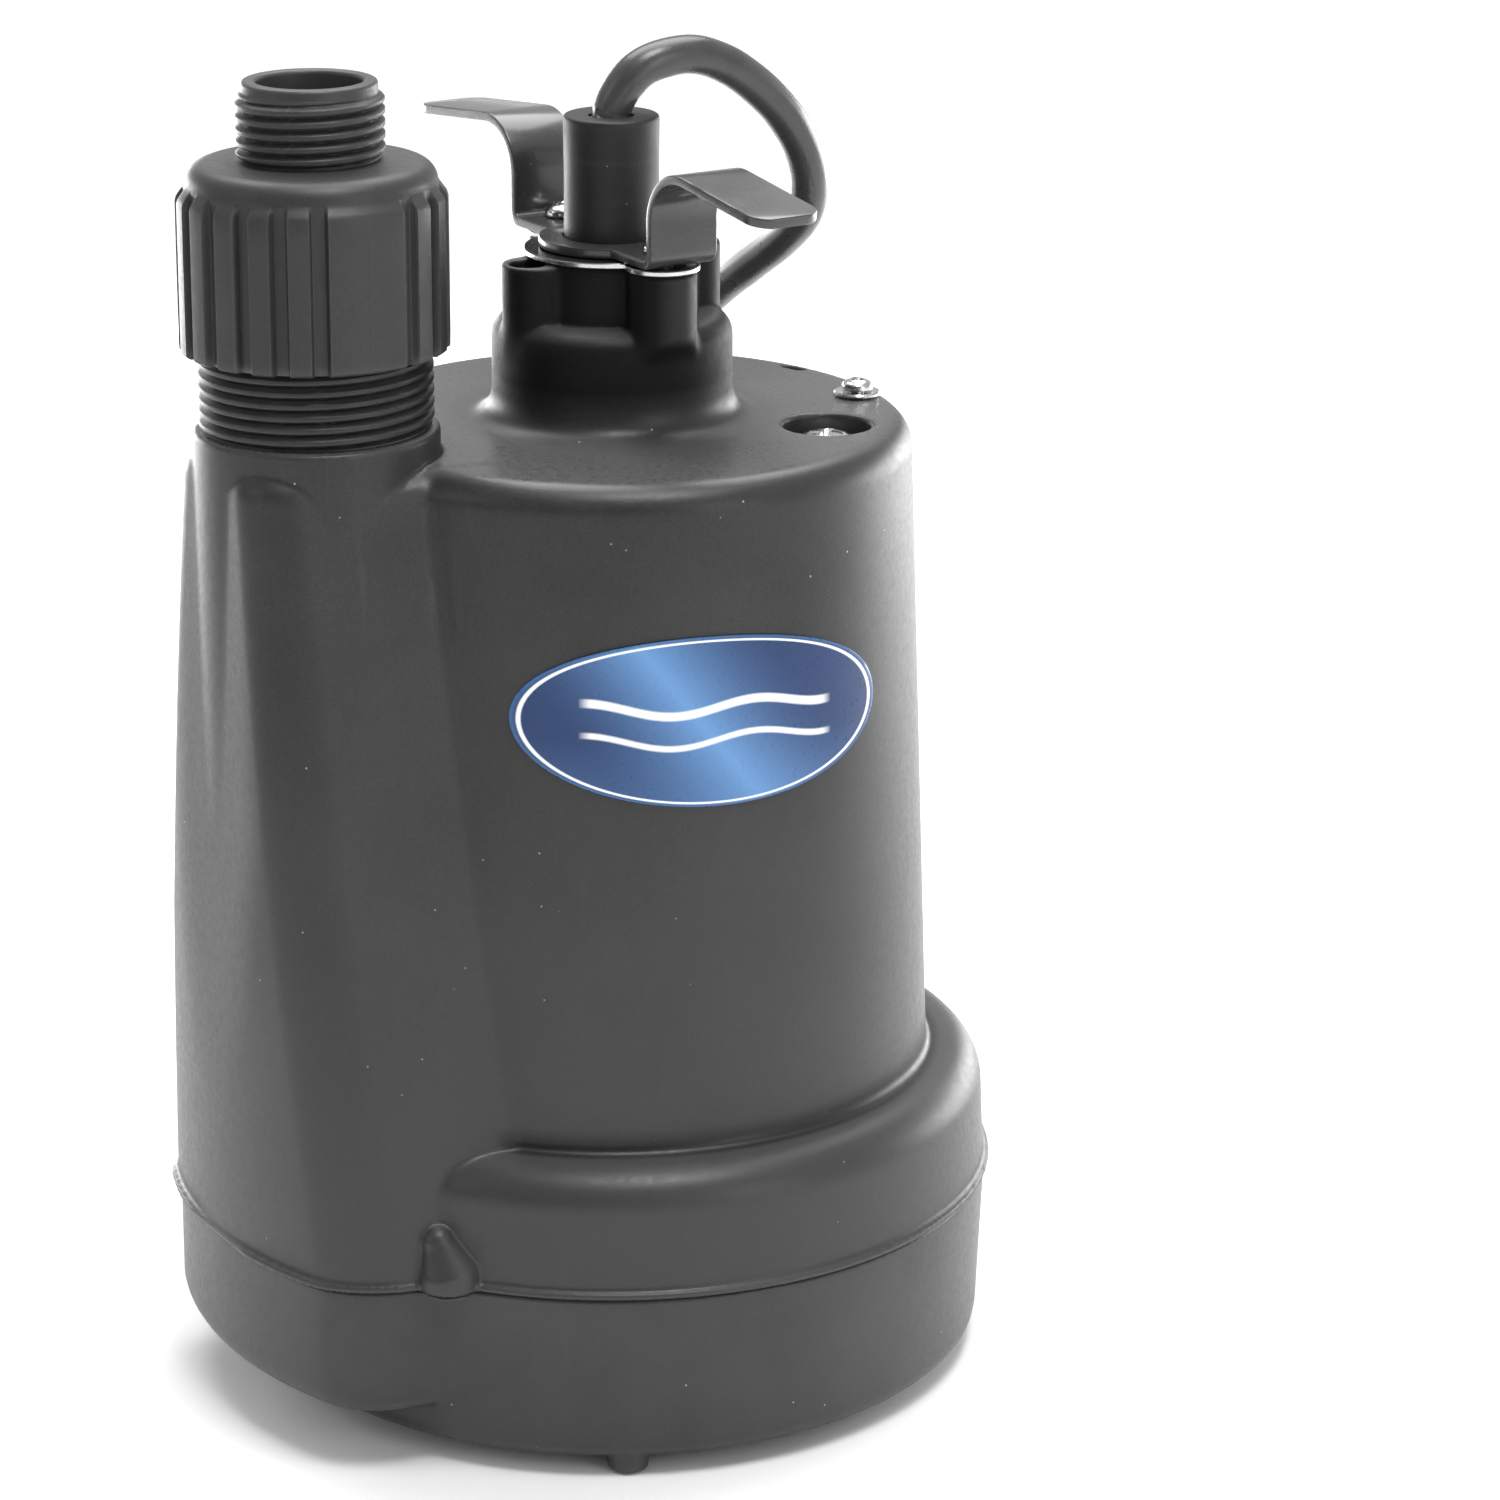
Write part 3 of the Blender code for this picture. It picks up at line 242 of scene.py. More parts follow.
def plastic(name, dark=(0.0140, 0.0140, 0.0145), light=(0.0240, 0.0240, 0.0250), rough=0.40,
            dust_and_top_light=1.0, housing=False):
    """Moulded charcoal plastic: fine grain, cloudy tone, dusty specks and faint scuffs, a pale dusty
    layer on upward faces that is partly painted top light, and painted shade in hollows.
    """
    spec = 0.40
    mat = Shader(name)
    cloud = mat.noise(scale=38.0, detail=4.0, rough=0.6)
    grain = mat.noise(scale=1900.0, detail=2.0, rough=0.6)
    fine = mat.noise(scale=700.0, detail=3.0, rough=0.65)
    mat.tone(dark, light, by=mat.ramp(cloud, over=(0.3, 0.7)))
    mat.tint((0.07, 0.07, 0.072), by=mat.ramp(grain, over=(0.35, 0.75), to=(0.0, 0.16)))
    # faint vertical rub marks, in patches
    rub = mat.noise(scale=240.0, detail=3.0, rough=0.6, stretch=(1.0, 1.0, 0.07))
    patch = mat.noise(scale=17.0, detail=2.0, rough=0.5)
    rubbed = mat.times(mat.ramp(rub, over=(0.60, 0.80)),
                       by=mat.ramp(patch, over=(0.50, 0.72), to=(0.0, 0.28 * dust_and_top_light)))
    mat.tint((0.10, 0.10, 0.102), by=rubbed)
    # pale dusty layer on upward faces, partly painted light on the tops; worn convex edges; painted
    # shade in hollows
    up = mat.upward()
    flat_top = mat.ramp(up, over=(0.80, 1.0))
    # partly painted light: upward faces made paler as lit tops, partly a dusty layer
    film_and_top_light = mat.times(mat.times(flat_top, by=0.42 * dust_and_top_light),
                     by=mat.ramp(fine, over=(0.25, 0.75), to=(0.55, 1.0)))
    mat.tint((0.17, 0.17, 0.173), by=film_and_top_light)
    mat.tint((0.14, 0.14, 0.143), by=mat.edge(over=(0.515, 0.58)), strength=0.20)
    # painted shade: hollows are painted darker, where shade falls
    mat.tint((0.004, 0.004, 0.0042), by=mat.edge(over=(0.478, 0.430)), strength=0.30)
    specks = mat.math("MAXIMUM", mat.specks(scale=430.0, size=0.10, keep=0.05 * dust_and_top_light),
                      mat.specks(scale=170.0, size=0.045, keep=0.10 * dust_and_top_light))
    mat.tint((0.50, 0.50, 0.49), by=specks, strength=0.75)
    rough = mat.math("ADD", mat.ramp(fine, over=(0.3, 0.7), to=(rough - 0.05, rough + 0.06)),
                     mat.times(rubbed, by=0.25))
    if housing:
        rough = housing_zones(mat, rough, up, flat_top, spec)
    bumps = [mat.bump(grain, strength=0.22, distance=0.00012),
             mat.bump(cloud, strength=0.10, distance=0.0004),
             mat.bump(specks, strength=0.3, distance=0.0001)]
    return mat.done(rough, bumps, spec=None if housing else spec)


def rubber(name, base, rough, spec, vary, ring_share):
    """Matt rubber with faint rings; vary is how much lighter the cloudy patches are."""
    mat = Shader(name)
    cloud = mat.noise(scale=90.0, detail=4.0, rough=0.6)
    grain = mat.noise(scale=2200.0, detail=2.0, rough=0.6)
    mat.tone(base, scaled(base, by=vary), by=mat.ramp(cloud, over=(0.3, 0.75)))
    rings = mat.noise(scale=130.0, detail=2.0, rough=0.5, stretch=(0.12, 0.12, 2.4))
    mat.tint((0.05, 0.05, 0.05), by=mat.ramp(rings, over=(0.58, 0.74), to=(0.0, ring_share)))
    mat.tint((0.42, 0.42, 0.41), by=mat.specks(scale=600.0, size=0.10, keep=0.05), strength=0.6)
    mat.tint((0.17, 0.17, 0.17), by=mat.edge(over=(0.53, 0.62)), strength=0.25)
    return mat.done(mat.ramp(cloud, over=(0.3, 0.7), to=(rough - 0.07, rough + 0.08)),
                    [mat.bump(grain, strength=0.25, distance=0.00012),
                     mat.bump(rings, strength=0.15, distance=0.0002)], spec=spec)


def paint(name):
    """Glossy black enamel on bent strip, thin at the edges, with fine scratches."""
    mat = Shader(name)
    peel = mat.noise(scale=620.0, detail=2.0, rough=0.5)
    scratch = mat.noise(scale=900.0, detail=2.0, rough=0.6, stretch=(1.0, 0.05, 1.0))
    cloud = mat.noise(scale=60.0, detail=3.0, rough=0.6)
    mat.tone((0.026, 0.026, 0.0265), (0.046, 0.046, 0.0465), by=mat.ramp(cloud, over=(0.35, 0.7)))
    mat.tint((0.16, 0.16, 0.16), by=mat.ramp(scratch, over=(0.66, 0.78), to=(0.0, 0.25)))
    chip = mat.times(mat.edge(over=(0.60, 0.72)),
                     by=mat.ramp(peel, over=(0.45, 0.65), to=(0.0, 0.5)))
    mat.tint((0.34, 0.34, 0.34), by=chip)
    mat.tint((0.5, 0.5, 0.5), by=mat.specks(scale=700.0, size=0.09, keep=0.04), strength=0.7)
    mat.principled.inputs["Coat Weight"].default_value = 0.45
    mat.principled.inputs["Coat Roughness"].default_value = 0.14
    return mat.done(mat.ramp(cloud, over=(0.3, 0.7), to=(0.22, 0.34)),
                    [mat.bump(peel, strength=0.10, distance=0.0001),
                     mat.bump(scratch, strength=0.08, distance=0.00005)],
                    metal=mat.times(chip, by=0.5), spec=0.5)


def metal(name, base, rough, dark, lines, stretch=(1.0, 1.0, 1.0)):
    """Bare metal; lines is the scale of its surface grain."""
    mat = Shader(name)
    lay = mat.noise(scale=lines, detail=2.0, rough=0.6, stretch=stretch)
    cloud = mat.noise(scale=220.0, detail=3.0, rough=0.6)
    mat.tone(base, scaled(base, by=dark), by=mat.ramp(cloud, over=(0.35, 0.75)))
    mat.tint(scaled(base, by=1.15), by=mat.ramp(lay, over=(0.45, 0.75), to=(0.0, 0.3)))
    return mat.done(mat.ramp(lay, over=(0.3, 0.7), to=(rough - 0.05, rough + 0.1)),
                    [mat.bump(lay, strength=0.12, distance=0.00006)], metal=1.0)


def edge_plate(name):
    """Black coated sheet whose punched edge is bare and bright."""
    mat = Shader(name)
    side = mat.ramp(mat.math("ABSOLUTE", mat.upward()), over=(0.75, 0.45))
    lay = mat.noise(scale=900.0, detail=2.0, rough=0.6, stretch=(1.0, 1.0, 6.0))
    cloud = mat.noise(scale=80.0, detail=3.0, rough=0.6)
    side = mat.times(side, by=mat.ramp(lay, over=(0.2, 0.5), to=(0.75, 1.0)))
    mat.tone((0.008, 0.008, 0.0085), (0.016, 0.016, 0.0165), by=mat.ramp(cloud, over=(0.35, 0.7)))
    mat.tint((0.74, 0.74, 0.74), by=side)
    return mat.done(mat.ramp(lay, over=(0.3, 0.7), to=(0.18, 0.28)),
                    [mat.bump(lay, strength=0.10, distance=0.00006)], metal=side, spec=0.6)


def stacked(name, base, pitch, metallic, rough):
    """Thin plates or wires stacked up the axis, a pitch apart."""
    mat = Shader(name)
    height = mat.split(mat.coordinates.outputs["Object"])["Z"]
    wave = mat.math("SINE", mat.times(height, by=2 * math.pi / (pitch * MM)))
    cloud = mat.noise(scale=150.0, detail=3.0, rough=0.6)
    mat.tone(scaled(base, by=0.35), base, by=mat.ramp(wave, over=(-1.0, 0.2)))
    mat.tint(scaled(base, by=0.6), by=mat.ramp(cloud, over=(0.4, 0.8), to=(0.0, 0.4)))
    return mat.done(mat.ramp(cloud, over=(0.3, 0.7), to=(rough - 0.06, rough + 0.1)),
                    [mat.bump(wave, strength=0.4, distance=0.0002)], metal=metallic)


def ceramic(name, base, rough):
    mat = Shader(name)
    cloud = mat.noise(scale=260.0, detail=3.0, rough=0.6)
    mat.tone(base, scaled(base, by=0.82), by=mat.ramp(cloud, over=(0.3, 0.7)))
    return mat.done(mat.ramp(cloud, over=(0.3, 0.7), to=(rough - 0.05, rough + 0.12)),
                    [mat.bump(cloud, strength=0.1, distance=0.0001)])


def label(name):
    """Blank oval label: blue, lighter in a slanting band, a white line inside the rim, two waves."""
    band_slant = 0.85, 0.28         # weights of across and up
    band_shift = 0.06
    wave_turns = 7.6                # radians of wave per unit across
    waves = ((0.16, 0.075, 0.050),  # middle height, swing, half width
             (-0.22, 0.075, 0.034))
    soft = 0.012                    # half the soft border of a wave
    mat = Shader(name)
    oval = mat.node("ShaderNodeUVMap", uv_map="oval")
    across, up, _ = mat.split(oval.outputs["UV"])  # each -1..1
    radius = mat.length(across, up)
    band = mat.math("ADD", mat.times(across, by=band_slant[0]), mat.times(up, by=band_slant[1]))
    lit = mat.ramp(mat.math("ABSOLUTE", mat.math("ADD", band, band_shift)), over=(0.62, 0.0))
    lit = mat.times(lit, by=lit)
    mat.tone((0.010, 0.036, 0.125), (0.125, 0.29, 0.58), by=lit)
    mat.tint((0.10, 0.24, 0.50), by=mat.ramp(up, over=(-0.2, -1.0), to=(0.0, 0.25)))
    for middle, swing, width in waves:
        wave = mat.times(mat.math("SINE", mat.times(across, by=wave_turns)), by=swing)
        offset = mat.math("SUBTRACT", mat.math("SUBTRACT", up, middle), wave)
        distance = mat.math("ABSOLUTE", offset)
        inside = mat.ramp(mat.math("ABSOLUTE", across), over=(0.66, 0.60))
        line = mat.times(mat.ramp(distance, over=(width + soft, width - soft)), by=inside)
        mat.tint((0.86, 0.88, 0.90), by=line)
    ring = mat.times(mat.ramp(radius, over=(0.936, 0.944)), by=mat.ramp(radius, over=(0.968, 0.960)))
    mat.tint((0.88, 0.90, 0.92), by=ring)
    grain = mat.noise(scale=900.0, detail=2.0, rough=0.5)
    mat.tint((0.045, 0.13, 0.31), by=mat.ramp(radius, over=(0.962, 0.99)), strength=0.85)
    return mat.done(mat.ramp(grain, over=(0.3, 0.7), to=(0.26, 0.34)),
                    [mat.bump(grain, strength=0.05, distance=0.00005)], spec=0.4)


HOUSING = plastic("charcoal_housing", housing=True)
BASE = plastic("charcoal_base", dark=(0.030, 0.030, 0.0305), light=(0.045, 0.045, 0.046))
ADAPTER = plastic("charcoal_adapter", dark=(0.020, 0.0204, 0.0208), light=(0.029, 0.0294, 0.030),
                  rough=0.44, dust_and_top_light=0.25)
STRAINER = plastic("charcoal_strainer", rough=0.5)
RUBBER = rubber("grommet_rubber", base=(0.010, 0.010, 0.0103), rough=0.50, spec=0.34, vary=1.9,
                ring_share=0.22)
CORD = rubber("cord_jacket", base=(0.038, 0.038, 0.0385), rough=0.28, spec=0.55, vary=1.25,
              ring_share=0.08)
PAINT = paint("black_enamel")
ZINC = metal("bright_zinc", base=(0.80, 0.80, 0.79), rough=0.16, dark=0.6, lines=900.0)
STEEL = metal("bare_steel", base=(0.62, 0.63, 0.64), rough=0.26, dark=0.55, lines=1500.0,
              stretch=(1.0, 1.0, 4.0))
PLATE = edge_plate("edge_steel")
LAMINATIONS = stacked("laminations", base=(0.36, 0.37, 0.39), pitch=0.5, metallic=0.9, rough=0.4)
COPPER = stacked("enamelled_copper", base=(0.60, 0.24, 0.10), pitch=1.1, metallic=0.75, rough=0.32)
CERAMIC = ceramic("lapped_ceramic", base=(0.78, 0.76, 0.71), rough=0.3)
IMPELLER = plastic("impeller_resin", dark=(0.07, 0.07, 0.072), light=(0.11, 0.11, 0.115),
                   rough=0.38, dust_and_top_light=0.3)
CASE = plastic("black_case", dark=(0.014, 0.014, 0.015), light=(0.026, 0.026, 0.027),
               rough=0.34, dust_and_top_light=0.4)
LABEL = label("blue_label")


# ------------------------------------------------------------------ mesh helpers
def smooth_below(mesh, degrees):
    mesh.shade_smooth()
    mesh.set_sharp_from_angle(angle=math.radians(degrees))


def link_object(name, mesh):
    obj = bpy.data.objects.new(name, mesh)
    bpy.context.scene.collection.objects.link(obj)
    return obj


def add(name, mesh, material, replaces=None, body="root", smooth=35.0):
    """Makes the object and tells the frame about it. smooth=None keeps the mesh's own normals."""
    obj = link_object(name, mesh)
    mesh.materials.append(material)
    if smooth is not None:
        smooth_below(mesh, smooth)
    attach(obj, body)
    if replaces:
        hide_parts(replaces)
    return obj


def face_outward(mesh, weld=False):
    bm = bmesh.new()
    bm.from_mesh(mesh)
    if weld:
        bmesh.ops.remove_doubles(bm, verts=bm.verts, dist=1e-7)
        bmesh.ops.recalc_face_normals(bm, faces=bm.faces)
    if bm.calc_volume(signed=True) < 0:
        bmesh.ops.reverse_faces(bm, faces=bm.faces)
    bm.to_mesh(mesh)
    bm.free()


def mesh_from(verts, faces, name):
    mesh = bpy.data.meshes.new(name)
    mesh.from_pydata(verts, [], faces)
    mesh.update()
    return mesh


def loop_grid(rings, name, closed_loop=False):
    """Joins rings of equal count in order, then caps the ends or joins the last to the first."""
    count, total = len(rings[0]), len(rings)
    verts = [tuple(c * MM for c in point) for ring in rings for point in ring]
    faces = []
    for i in range(total if closed_loop else total - 1):
        here, there = i * count, ((i + 1) % total) * count
        for k in range(count):
            after = (k + 1) % count
            faces.append((here + k, here + after, there + after, there + k))
    if not closed_loop:
        faces.append(tuple(range(count))[::-1])
        faces.append(tuple((total - 1) * count + k for k in range(count)))
    mesh = mesh_from(verts, faces, name)
    face_outward(mesh, weld=True)
    return mesh


def turn_angles(segments):
    return np.linspace(0, 2 * math.pi, segments, endpoint=False)


def turned(name, rows, segments, centre=(0.0, 0.0)):
    """Closed turned outline of (radius, height) rows. A radius may be an array round the turn."""
    angles = turn_angles(segments)
    rings = [np.stack([centre[0] + radius * np.cos(angles), centre[1] + radius * np.sin(angles),
                       np.full(segments, z)], 1) for radius, z in rows]
    return loop_grid(rings, name, closed_loop=True)


def arc(cx, cz, radius, start, end, steps):
    """Points (r, z) on an arc between two angles in degrees."""
    angles = [math.radians(start + (end - start) * i / steps) for i in range(steps + 1)]
    return [(cx + radius * math.cos(a), cz + radius * math.sin(a)) for a in angles]


def circle(x, y, z, radius, segments):
    return [(x + radius * math.cos(2 * math.pi * k / segments),
             y + radius * math.sin(2 * math.pi * k / segments), z) for k in range(segments)]


def catmull(points, per):
    """Smooth curve through the points, with so many steps per span."""
    ctrl = [Vector(point) for point in points]
    ctrl = [ctrl[0] * 2 - ctrl[1]] + ctrl + [ctrl[-1] * 2 - ctrl[-2]]
    curve = []
    for a, b, c, d in zip(ctrl, ctrl[1:], ctrl[2:], ctrl[3:]):
        for k in range(per):
            t = k / per
            curve.append(0.5 * ((2 * b) + (c - a) * t + (2 * a - 5 * b + 4 * c - d) * t * t
                                + (3 * b - a - 3 * c + d) * t ** 3))
    curve.append(ctrl[-2])
    return curve


def tube_rings(points, radius_at, segments):
    """Circles along a path, on a frame that doesn't twist."""
    last = len(points) - 1
    tangents = [(points[min(i + 1, last)] - points[max(i - 1, 0)]).normalized()
                for i in range(last + 1)]
    side = Vector((1, 0, 0)) if abs(tangents[0].x) < 0.9 else Vector((0, 1, 0))
    turns = [2 * math.pi * k / segments for k in range(segments)]
    rings = []
    for i, (point, tangent) in enumerate(zip(points, tangents)):
        if i == 0:
            side = (side - side.dot(tangent) * tangent).normalized()
        side = (side - side.dot(tangent) * tangent).normalized()
        other, radius = tangent.cross(side), radius_at(i)
        rings.append([tuple(point + radius * (math.cos(a) * side + math.sin(a) * other))
                      for a in turns])
    return rings


def cut(obj, material, cutter_meshes):
    """Cuts the closed meshes out of the object, then gives it its one material again."""
    for cutter_mesh in cutter_meshes:
        cutter = link_object("cutter", cutter_mesh)
        boolean = obj.modifiers.new("cut", "BOOLEAN")
        boolean.operation = "DIFFERENCE"
        boolean.solver = "EXACT"
        boolean.object = cutter
        bpy.context.view_layer.update()
        depsgraph = bpy.context.evaluated_depsgraph_get()
        mesh = bpy.data.meshes.new_from_object(obj.evaluated_get(depsgraph))
        obj.modifiers.clear()
        obj.data = mesh
        bpy.data.objects.remove(cutter, do_unlink=True)
        smooth_below(mesh, 30)
    obj.data.materials.clear()
    obj.data.materials.append(material)


# ------------------------------------------------------------------ distance fields
class Field:
    """A box of samples of the distance to a solid, negative inside."""

    def __init__(self, low, high):
        self.low = np.array(low, float)
        axes = [np.arange(a, b + VOXEL, VOXEL).astype(np.float32) for a, b in zip(low, high)]
        self.x, self.y = axes[0][:, None, None], axes[1][None, :, None]
        self.z = axes[2][None, None, :]
        self.r = self.radial(0.0, 0.0)

    def radial(self, cx, cy):
        """Distance from an upright line."""
        return np.sqrt((self.x - cx) ** 2 + (self.y - cy) ** 2)

    def slab(self, z0, z1):
        return np.abs(self.z - (z0 + z1) / 2) - (z1 - z0) / 2

    def lathe(self, outline):
        """Solid turned about the axis, from a closed outline of (r, z) points."""
        radii, heights = self.r[:, :, 0], self.z[0, 0]
        steps = np.arange(0.0, float(radii.max()) + 0.5, 0.25)
        table = outline_distance(steps[:, None], heights[None, :].astype(float), outline)
        solid = np.empty(radii.shape + (len(heights),), np.float32)
        for k in range(len(heights)):
            solid[:, :, k] = np.interp(radii, steps, table[:, k])
        return solid

    def post(self, cx, cy, radius, z0, z1, rounding=0.0):
        return meet_round(self.radial(cx, cy) - radius, self.slab(z0, z1), rounding)

    def well_up(self, cx, cy, radius, floor):
        """Upright cylinder, endless above its floor."""
        return np.maximum(self.radial(cx, cy) - radius, floor - self.z)

    def well_down(self, radius, roof):
        """Cylinder on the axis, endless below its roof."""
        return np.maximum(self.r - radius, self.z - roof)

    def mesh(self, solid, name):
        vdb = openvdb.FloatGrid(4.0)
        vdb.copyFromArray(np.clip(solid, -4.0, 4.0).astype(np.float32))
        points, tris, quads = vdb.convertToPolygons(isovalue=0.0, adaptivity=0.0)
        points = points.astype(float)
        for _ in range(2):      # pull the points onto the surface
            distance = self.sample(solid, points)
            slope = self.gradient(solid, points)
            points = points - slope * (distance / VOXEL)[:, None] * 0.9
        normals = self.gradient(solid, points)
        verts = (points * VOXEL + self.low) * MM
        mesh = bpy.data.meshes.new(name)
        mesh.vertices.add(len(verts))
        mesh.vertices.foreach_set("co", verts.astype(np.float32).ravel())
        quad_count, tri_count = len(quads), len(tris)
        loops = np.concatenate([quads.ravel(), tris.ravel()]).astype(np.int32)
        mesh.loops.add(len(loops))
        mesh.loops.foreach_set("vertex_index", loops)
        mesh.polygons.add(quad_count + tri_count)
        starts = np.concatenate([np.arange(quad_count) * 4,
                                 quad_count * 4 + np.arange(tri_count) * 3])
        mesh.polygons.foreach_set("loop_start", starts.astype(np.int32))
        mesh.update(calc_edges=True)
        mesh.validate()
        face_outward(mesh)
        mesh.shade_smooth()
        mesh.normals_split_custom_set_from_vertices([tuple(v) for v in normals])
        return mesh

    def sample(self, solid, points):
        """Trilinear reading at points given in grid steps."""
        inside = np.clip(points, 0, np.array(solid.shape) - 1.001)
        cell = inside.astype(int)
        part = inside - cell
        total = np.zeros(len(points))
        for dx in (0, 1):
            for dy in (0, 1):
                for dz in (0, 1):
                    weight = (part[:, 0] if dx else 1 - part[:, 0]) \
                        * (part[:, 1] if dy else 1 - part[:, 1]) \
                        * (part[:, 2] if dz else 1 - part[:, 2])
                    total += weight * solid[cell[:, 0] + dx, cell[:, 1] + dy, cell[:, 2] + dz]
        return total

    def gradient(self, solid, points):
        slope = np.zeros_like(points)
        for axis in range(3):
            step = np.zeros(3)
            step[axis] = 0.6
            slope[:, axis] = self.sample(solid, points + step) - self.sample(solid, points - step)
        return slope / np.maximum(np.linalg.norm(slope, axis=1), 1e-9)[:, None]


def outline_distance(r, z, outline):
    """Signed distance to a closed outline in the r-z plane; edges on the axis don't count."""
    best = np.full(np.broadcast(r, z).shape, 1e9)
    inside = np.zeros(best.shape, bool)
    for i, (ar, az) in enumerate(outline):
        br, bz = outline[(i + 1) % len(outline)]
        if not (ar < 1e-6 and br < 1e-6):
            dr, dz = br - ar, bz - az
            square = dr * dr + dz * dz
            if square > 0:
                t = np.clip(((r - ar) * dr + (z - az) * dz) / square, 0, 1)
                best = np.minimum(best, (r - ar - t * dr) ** 2 + (z - az - t * dz) ** 2)
        if az != bz:
            inside ^= ((az > z) != (bz > z)) & (r < (br - ar) * (z - az) / (bz - az) + ar)
    distance = np.sqrt(best)
    return np.where(inside, -distance, distance)


def join(a, b, width):
    """Union with a soft fillet."""
    near = np.maximum(width - np.abs(a - b), 0) / width
    return np.minimum(a, b) - near * near * (width * 0.25)


def meet(a, b, width):
    """Intersection with a soft edge."""
    return -join(-a, -b, width)


def meet_round(a, b, radius):
    """Intersection whose edge is rounded."""
    if radius <= 0:
        return np.maximum(a, b)
    u, v = np.maximum(a + radius, 0), np.maximum(b + radius, 0)
    return np.minimum(-radius, np.maximum(a, b)) + np.sqrt(u * u + v * v)


def carve(solid, hole):
    return np.maximum(solid, -hole)


# ------------------------------------------------------------------ housing and base
FIELD_X, FIELD_Y = (-93, 77), (-77, 77)
BLOCK_FLARE = 0.19      # the block's sides close in towards -X by this slope


def block_field(grid, grow=0.0, top=None):
    """Discharge block: flat outer face, drafted sides, round corners."""
    radius = 84.2 + (165.0 - np.maximum(grid.z, 95.0)) * 0.0195 + grow
    half_width = 38.2 - 0.139 * (np.maximum(grid.z, 37.0) - 37.0)
    flat = np.where(grid.z > 118.0, 82.6 + (172.0 - grid.z) * 0.019,
                    83.63 + (118.0 - grid.z) * 0.045) + grow
    side = (np.abs(grid.y) - BLOCK_FLARE * grid.x - (half_width + BLOCK_FLARE * 81.0)) \
        / math.hypot(1.0, BLOCK_FLARE) - grow
    outer = meet(grid.r - radius, -grid.x - flat, 0.8)
    block = meet_round(outer, side, 8.0)
    if top is not None:
        block = meet_round(block, grid.z - top, 5.2)
    return np.maximum(block, grid.x + 28.0)


def vent_field(grid):
    """Rounded hood: a cone leaning outwards as it falls, upright for its last few millimetres."""
    tip, foot = np.array([-60.2, -41.1, 44.8]), np.array([-58.6, -42.3, 39.4])
    r_tip, r_foot = 3.2, 5.9
    axis = foot - tip
    dx, dy, dz = grid.x - tip[0], grid.y - tip[1], grid.z - tip[2]
    t = np.clip((dx * axis[0] + dy * axis[1] + dz * axis[2]) / float(axis @ axis), 0, 1)
    cone = np.sqrt((dx - t * axis[0]) ** 2 + (dy - t * axis[1]) ** 2 + (dz - t * axis[2]) ** 2) \
        - (r_tip + 2.7 * t)
    upright = np.maximum(grid.radial(foot[0], foot[1]) - r_foot, grid.z - foot[2])
    return join(cone, upright, 0.4)


def housing_outside(grid):
    # turned body, (r, z) up the outside from the axis
    outline = [(0.0, 30.0), (72.1, 30.0), (72.0, 38.5), (71.4, Z_SKIRT)]
    outline += arc(71.4 - 8.0, Z_SHOULDER - 8.0, 8.0, 6, 90, 10)
    outline += [(61.9, Z_SHOULDER), (61.0, 60.3), (wall_radius(61.2), 61.2)]
    outline += arc(56.2 - 5.6, Z_TOP - 5.6, 5.6, 0, 90, 8)
    outline += [(28.4, Z_TOP), (27.2, 184.55), (26.0, 184.9), (24.9, 185.4), (24.0, 186.05),
                (23.3, 186.9), (22.8, 188.0), (R_DRUM, 189.4)]
    outline += arc(R_DRUM - 4.2, Z_LEDGE - 4.2, 4.2, 0, 86, 6)
    outline += [(R_NECK + 0.3, Z_LEDGE), (R_NECK, Z_LEDGE + 0.5), (R_NECK, Z_BOSS), (0.0, Z_BOSS)]
    solid = grid.lathe(outline)
    # the block's top rises gently towards its outer face
    rise = np.clip((-grid.x - 58.0) / 14.0, 0, 1)
    block = block_field(grid, top=Z_TOP + 1.7 * rise * rise * (3 - 2 * rise))
    solid = join(solid, block, 0.9)
    # pipe rising out of the block
    pipe = grid.radial(PIPE_X, 0.0) - R_PIPE
    pipe = np.maximum(meet_round(pipe, grid.z - 189.7, 0.5), 60.0 - grid.z)
    solid = join(solid, pipe, 0.3)
    # lugs round the boss; the pair on Y is undercut by a cone
    for x in LUG_PAIR_X:
        top = Z_BOSS + (0.9 if x > 0 else -0.2)
        solid = join(solid, grid.post(x, 0.0, R_LUG, 198.0, top, 0.5), 1.0)
    cone = grid.r - (22.6 + np.minimum((grid.z - 199.6) * 0.82, 3.4))
    for y in LUG_PAIR_Y:
        lug = grid.post(0.0, y, R_LUG, 196.0, Z_BOSS, 0.4)
        solid = join(solid, meet_round(lug, cone, 0.6), 1.2)
    # lip along the seam, following the outline at the plan height
    plan_height = 41.0
    level = int(round((plan_height - grid.low[2]) / VOXEL))
    plan = solid[:, :, level][:, :, None]
    lip = meet_round(plan - 1.35, grid.slab(Z_SEAM, Z_LIP), 0.35)
    solid = np.maximum(join(solid, lip, 0.5), -grid.x - 86.15)
    solid = join(solid, vent_field(grid), 0.6)
    return np.maximum(solid, Z_SEAM - grid.z)


def top_slot(grid):
    """Small round-ended slot, square to a radius, in the top."""
    angle = math.radians(16.2)
    along = -grid.x * math.sin(angle) + grid.y * math.cos(angle)
    outward = grid.x * math.cos(angle) + grid.y * math.sin(angle) - 50.4
    slot = np.sqrt(np.maximum(np.abs(along) - 1.7, 0) ** 2 + outward ** 2) - 1.0
    return np.maximum(slot, 182.9 - grid.z)


